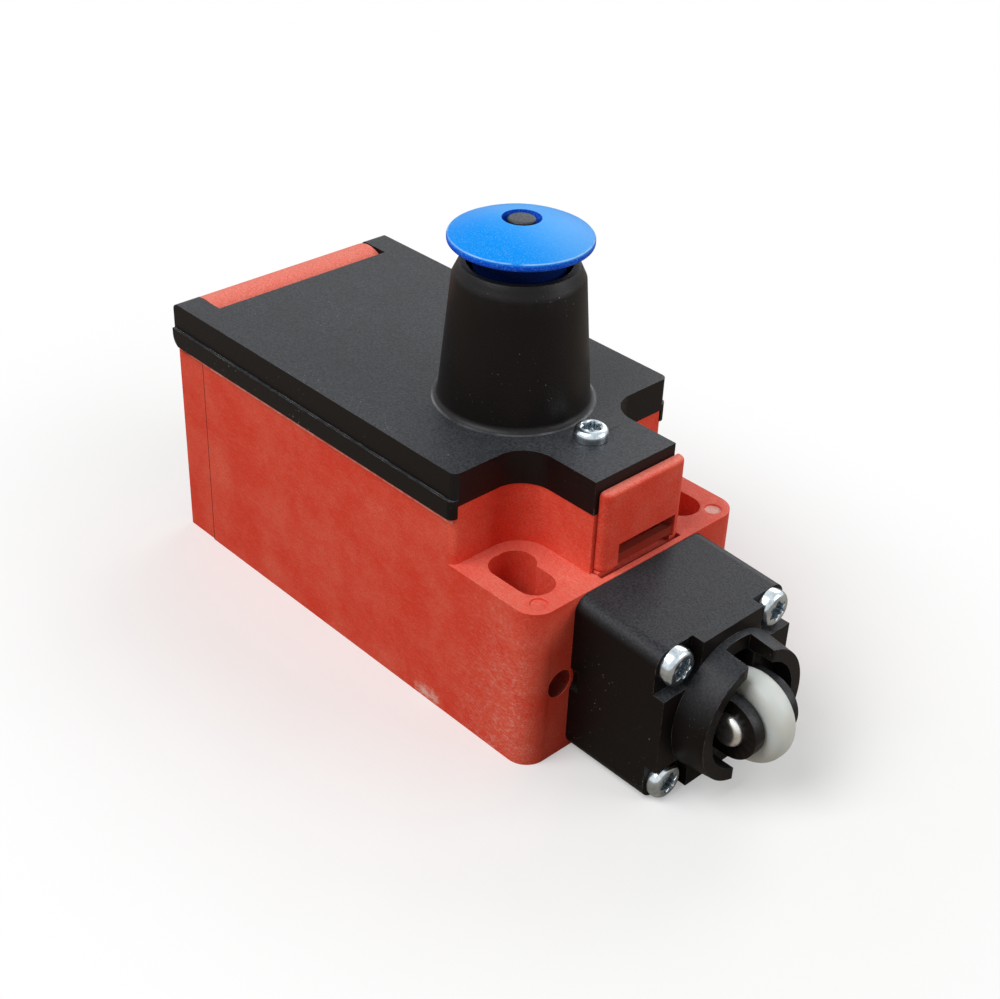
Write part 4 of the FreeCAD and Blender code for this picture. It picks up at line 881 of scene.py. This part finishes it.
# %% The four corner screws of the head
HEAD_SCREW = {"shank": 1.1 * MM, "pitch": 0.8 * MM, "head": 2.05 * MM, "rise": 1.4 * MM,
              "depth": 0.95 * MM, "outline": six_lobes(1.22 * MM)}
CORNER_TWISTS = (12, 47, -20, 31)

low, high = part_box("head_screws")
seat = high.x - HEAD_SCREW["rise"]
inset = HEAD_SCREW["head"]
corners = [(y, z) for y in (low.y + inset, high.y - inset) for z in (low.z + inset, high.z - inset)]
shell = bmesh.new()
for (y, z), twist in zip(corners, CORNER_TWISTS):
    rings = screw_rings(length=seat - low.x, **HEAD_SCREW)
    skin(shell, rings, seated(Vector((seat, y, z)), (1, 0, 0), twist), recess=RECESS)
finish_piece(shell, "corner_screws", SCREW_FINISH, "switch_body", "zinc_steel", "head_screws")

# %% The captive screw of the cover
COVER_SCREW = {"shank": 1.1 * MM, "pitch": 0.8 * MM, "head": 1.85 * MM, "rise": 1.3 * MM,
               "depth": 0.8 * MM, "outline": six_lobes(1.12 * MM)}
COVER_TWIST = 10

low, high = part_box("cover_screw")
seat = high.z - COVER_SCREW["rise"]
middle = (low + high) / 2
shell = bmesh.new()
rings = screw_rings(length=seat - low.z, **COVER_SCREW)
skin(shell, rings, seated(Vector((middle.x, middle.y, seat)), (0, 0, 1), COVER_TWIST), recess=RECESS)
finish_piece(shell, "captive_screw", SCREW_FINISH, "lid", "zinc_steel", "cover_screw")

# %% Terminal screws and the contact block's own screws
TERMINAL = {"shank": 1.25 * MM, "pitch": 0.6 * MM, "head": 2.1 * MM, "rise": 1.5 * MM, "depth": 0.9 * MM}
BLOCK = {"shank": 1.1 * MM, "pitch": 0.8 * MM, "head": 1.7 * MM, "rise": 1.4 * MM, "depth": 0.8 * MM}
CROSS_REACH = 0.62
CROSS_HALF_ARM = 0.3 * MM
TERMINAL_TWISTS = (20, -35, 5, 62)
BLOCK_TWISTS = (28, -12)


def cross_screws(name, node, sizes, twists):
    """Upright cross-recess screws at the corners of a CAD node's box, or in one row if it is narrow."""
    low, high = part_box(node)
    seat = high.z - sizes["rise"]
    inset = sizes["head"]
    columns = sorted({round(x, 6) for x in (low.x + inset, high.x - inset)})
    spots = [(x, y) for x in columns for y in (low.y + inset, high.y - inset)]
    recess = cross(inset * CROSS_REACH, CROSS_HALF_ARM)
    shell = bmesh.new()
    for (x, y), twist in zip(spots, twists):
        rings = screw_rings(length=seat - low.z, outline=recess, **sizes)
        skin(shell, rings, seated(Vector((x, y, seat)), (0, 0, 1), twist), recess=RECESS)
    finish_piece(shell, name, SCREW_FINISH, "switch_body", "zinc_steel", node)


cross_screws("terminal_clamp_screws", "terminal_screws", TERMINAL, TERMINAL_TWISTS)
cross_screws("contact_block_screws", "block_screws", BLOCK, BLOCK_TWISTS)

# %% [markdown]
# ## End of the reset stem
# The stem ends in the middle of the blue cap, level with its crown, and is turned with a soft edge. CAD
# stops a little lower with a flat end, so a thin rounded cap of rings brings it up to the crown.

# %% Rounded stem end
END_ROUND = 0.3 * MM
END_LAP = 0.35 * MM
TIP_RADIUS = 1.455 * MM
END_RINGS = 6

low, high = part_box("reset_stem")
middle = (low + high) / 2
end_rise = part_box("reset_knob")[1].z - high.z
rings = [(-END_LAP, TIP_RADIUS), (end_rise - END_ROUND, TIP_RADIUS)]
for step in range(1, END_RINGS + 1):
    turn = math.pi / 2 * step / END_RINGS
    rings.append((end_rise - END_ROUND * (1 - math.sin(turn)), TIP_RADIUS - END_ROUND * (1 - math.cos(turn))))
shell = bmesh.new()
skin(shell, rings, seated(Vector((middle.x, middle.y, high.z)), (0, 0, 1), 0))
finish_piece(shell, "stem_end", [black_stem], "reset", "stem_black")

# %% [markdown]
# ## Roller
# CAD turns the roller with a flat tread and small rounds. A real one is turned with a crowned tread,
# so that it never rides on an edge, and a small step beside the bore that keeps its side off the fork.
# It is drawn with the same rings, from one end of the bore over the tread to the other end.

# %% Crowned roller
ROLLER_BORE = 1.05 * MM
ROLLER_SIDE = 3.55 * MM
HUB_TOP, HUB_FOOT, HUB_STEP = 2.2 * MM, 2.35 * MM, 0.12 * MM
CROWN_POWER = 2.5
CROWN_STEPS = 28

low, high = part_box("roller")
centre = (low + high) / 2
half = (high.y - low.y) / 2
rim = (high.x - low.x) / 2
rings = [(-half, ROLLER_BORE), (-half, HUB_TOP), (-half + HUB_STEP, HUB_FOOT)]
for step in range(CROWN_STEPS + 1):
    turn = math.pi * step / CROWN_STEPS
    across = -math.copysign(abs(math.cos(turn)) ** (2 / CROWN_POWER), math.cos(turn))
    outward = math.sin(turn) ** (2 / CROWN_POWER)
    rings.append(((half - HUB_STEP) * across, ROLLER_SIDE + (rim - ROLLER_SIDE) * outward))
rings += [(half - HUB_STEP, HUB_FOOT), (half, HUB_TOP), (half, ROLLER_BORE)]
shell = bmesh.new()
skin(shell, rings, seated(centre, (0, 1, 0), 0), loop=True)
finish_piece(shell, "crowned_roller", [white_roller], "roller_wheel", "white_acetal", "roller")

# %% [markdown]
# ## Springs
# Three compression springs bring the plunger, the slider and the reset stem back. CAD winds each from a
# six-sided wire at one even pitch. A real one is wound from round wire, and its end turns lie closer
# together so that it stands flat on its seats.

# %% Coil springs
WIRE = 0.3 * MM
WIRE_SIDES = 12
TURN_STEPS = 40
END_CLOSING = 0.5
SPRINGS = {
    # new piece: CAD node, body, joint, way from the fixed seat to the moving one, turns
    "plunger_coil_spring": ("plunger_spring", "switch_body", "plunger_press", (1, 0, 0), 4),
    "slider_coil_spring": ("slider_spring", "switch_body", "slider_travel", (1, 0, 0), 7),
    "reset_coil_spring": ("reset_spring", "lid", "reset_pull", (0, 0, -1), 6),
}


def wound_wire(radius, length, turns, frame_of):
    """A round wire wound about the frame's Z from height 0 to the length, its end turns closer."""
    shell = bmesh.new()
    rows = []
    for step in range(turns * TURN_STEPS + 1):
        share = step / (turns * TURN_STEPS)
        closer = END_CLOSING * math.sin(2 * math.pi * share) / (2 * math.pi)
        height = WIRE + (length - 2 * WIRE) * (share - closer)
        heading = Matrix.Rotation(2 * math.pi * turns * share, 4, "Z")
        row = []
        for corner in range(WIRE_SIDES):
            angle = 2 * math.pi * corner / WIRE_SIDES
            point = Vector((radius + WIRE * math.cos(angle), 0, height + WIRE * math.sin(angle)))
            row.append(shell.verts.new(frame_of @ heading @ point))
        rows.append(row)
    join(shell, rows)
    return shell


for name, (node, body, joint, way, turns) in SPRINGS.items():
    low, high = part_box(node)
    way = Vector(way)
    length = abs((high - low).dot(way))
    fixed_seat = (low + high) / 2 - way * length / 2
    shell = wound_wire((high.y - low.y) / 2 - WIRE, length, turns, seated(fixed_seat, way, 0))
    spring = finish_piece(shell, name, [wire_steel], body, "spring_steel", node)
    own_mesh(spring)

# %% [markdown]
# ## Thread of the cable entry
# A gland with a 20 mm thread of 1.5 mm pitch screws into the rear wall. CAD keeps the wall plain at the
# thread's outer radius; the ridges are a thin sleeve of the same skin, its inner side a thread turned
# inwards.

# %% Cable entry thread
ENTRY_RIDGE = 0.8 * MM
ENTRY_PITCH = 1.5 * MM
ENTRY_LEAD = 0.9 * MM
SLEEVE = 0.05 * MM
INSET = 0.02 * MM
ENTRY_RINGS = 10

entry = next(mount for mount in frame["record"]["mounts"] if mount["name"] == "cable_entry")
wall = entry["dims"]["length_mm"] * MM
radius = entry["dims"]["r_mm"] * MM
ridge = thread(radius - ENTRY_RIDGE, ENTRY_RIDGE, ENTRY_PITCH)
steps = int(wall / ENTRY_PITCH * ENTRY_RINGS)
inside = [(ENTRY_LEAD + (wall - 2 * ENTRY_LEAD) * step / steps, ridge) for step in range(steps + 1)]
sleeve = [(INSET, radius + SLEEVE), (INSET, radius)] + inside
sleeve += [(wall - INSET, radius), (wall - INSET, radius + SLEEVE)]
rear = Vector(entry["pos_m"]) - Vector((wall / 2, 0, 0))
shell = bmesh.new()
skin(shell, sleeve, seated(rear, (1, 0, 0), 0), loop=True)
finish_piece(shell, "entry_thread", [red_body], "switch_body", "red_plastic")
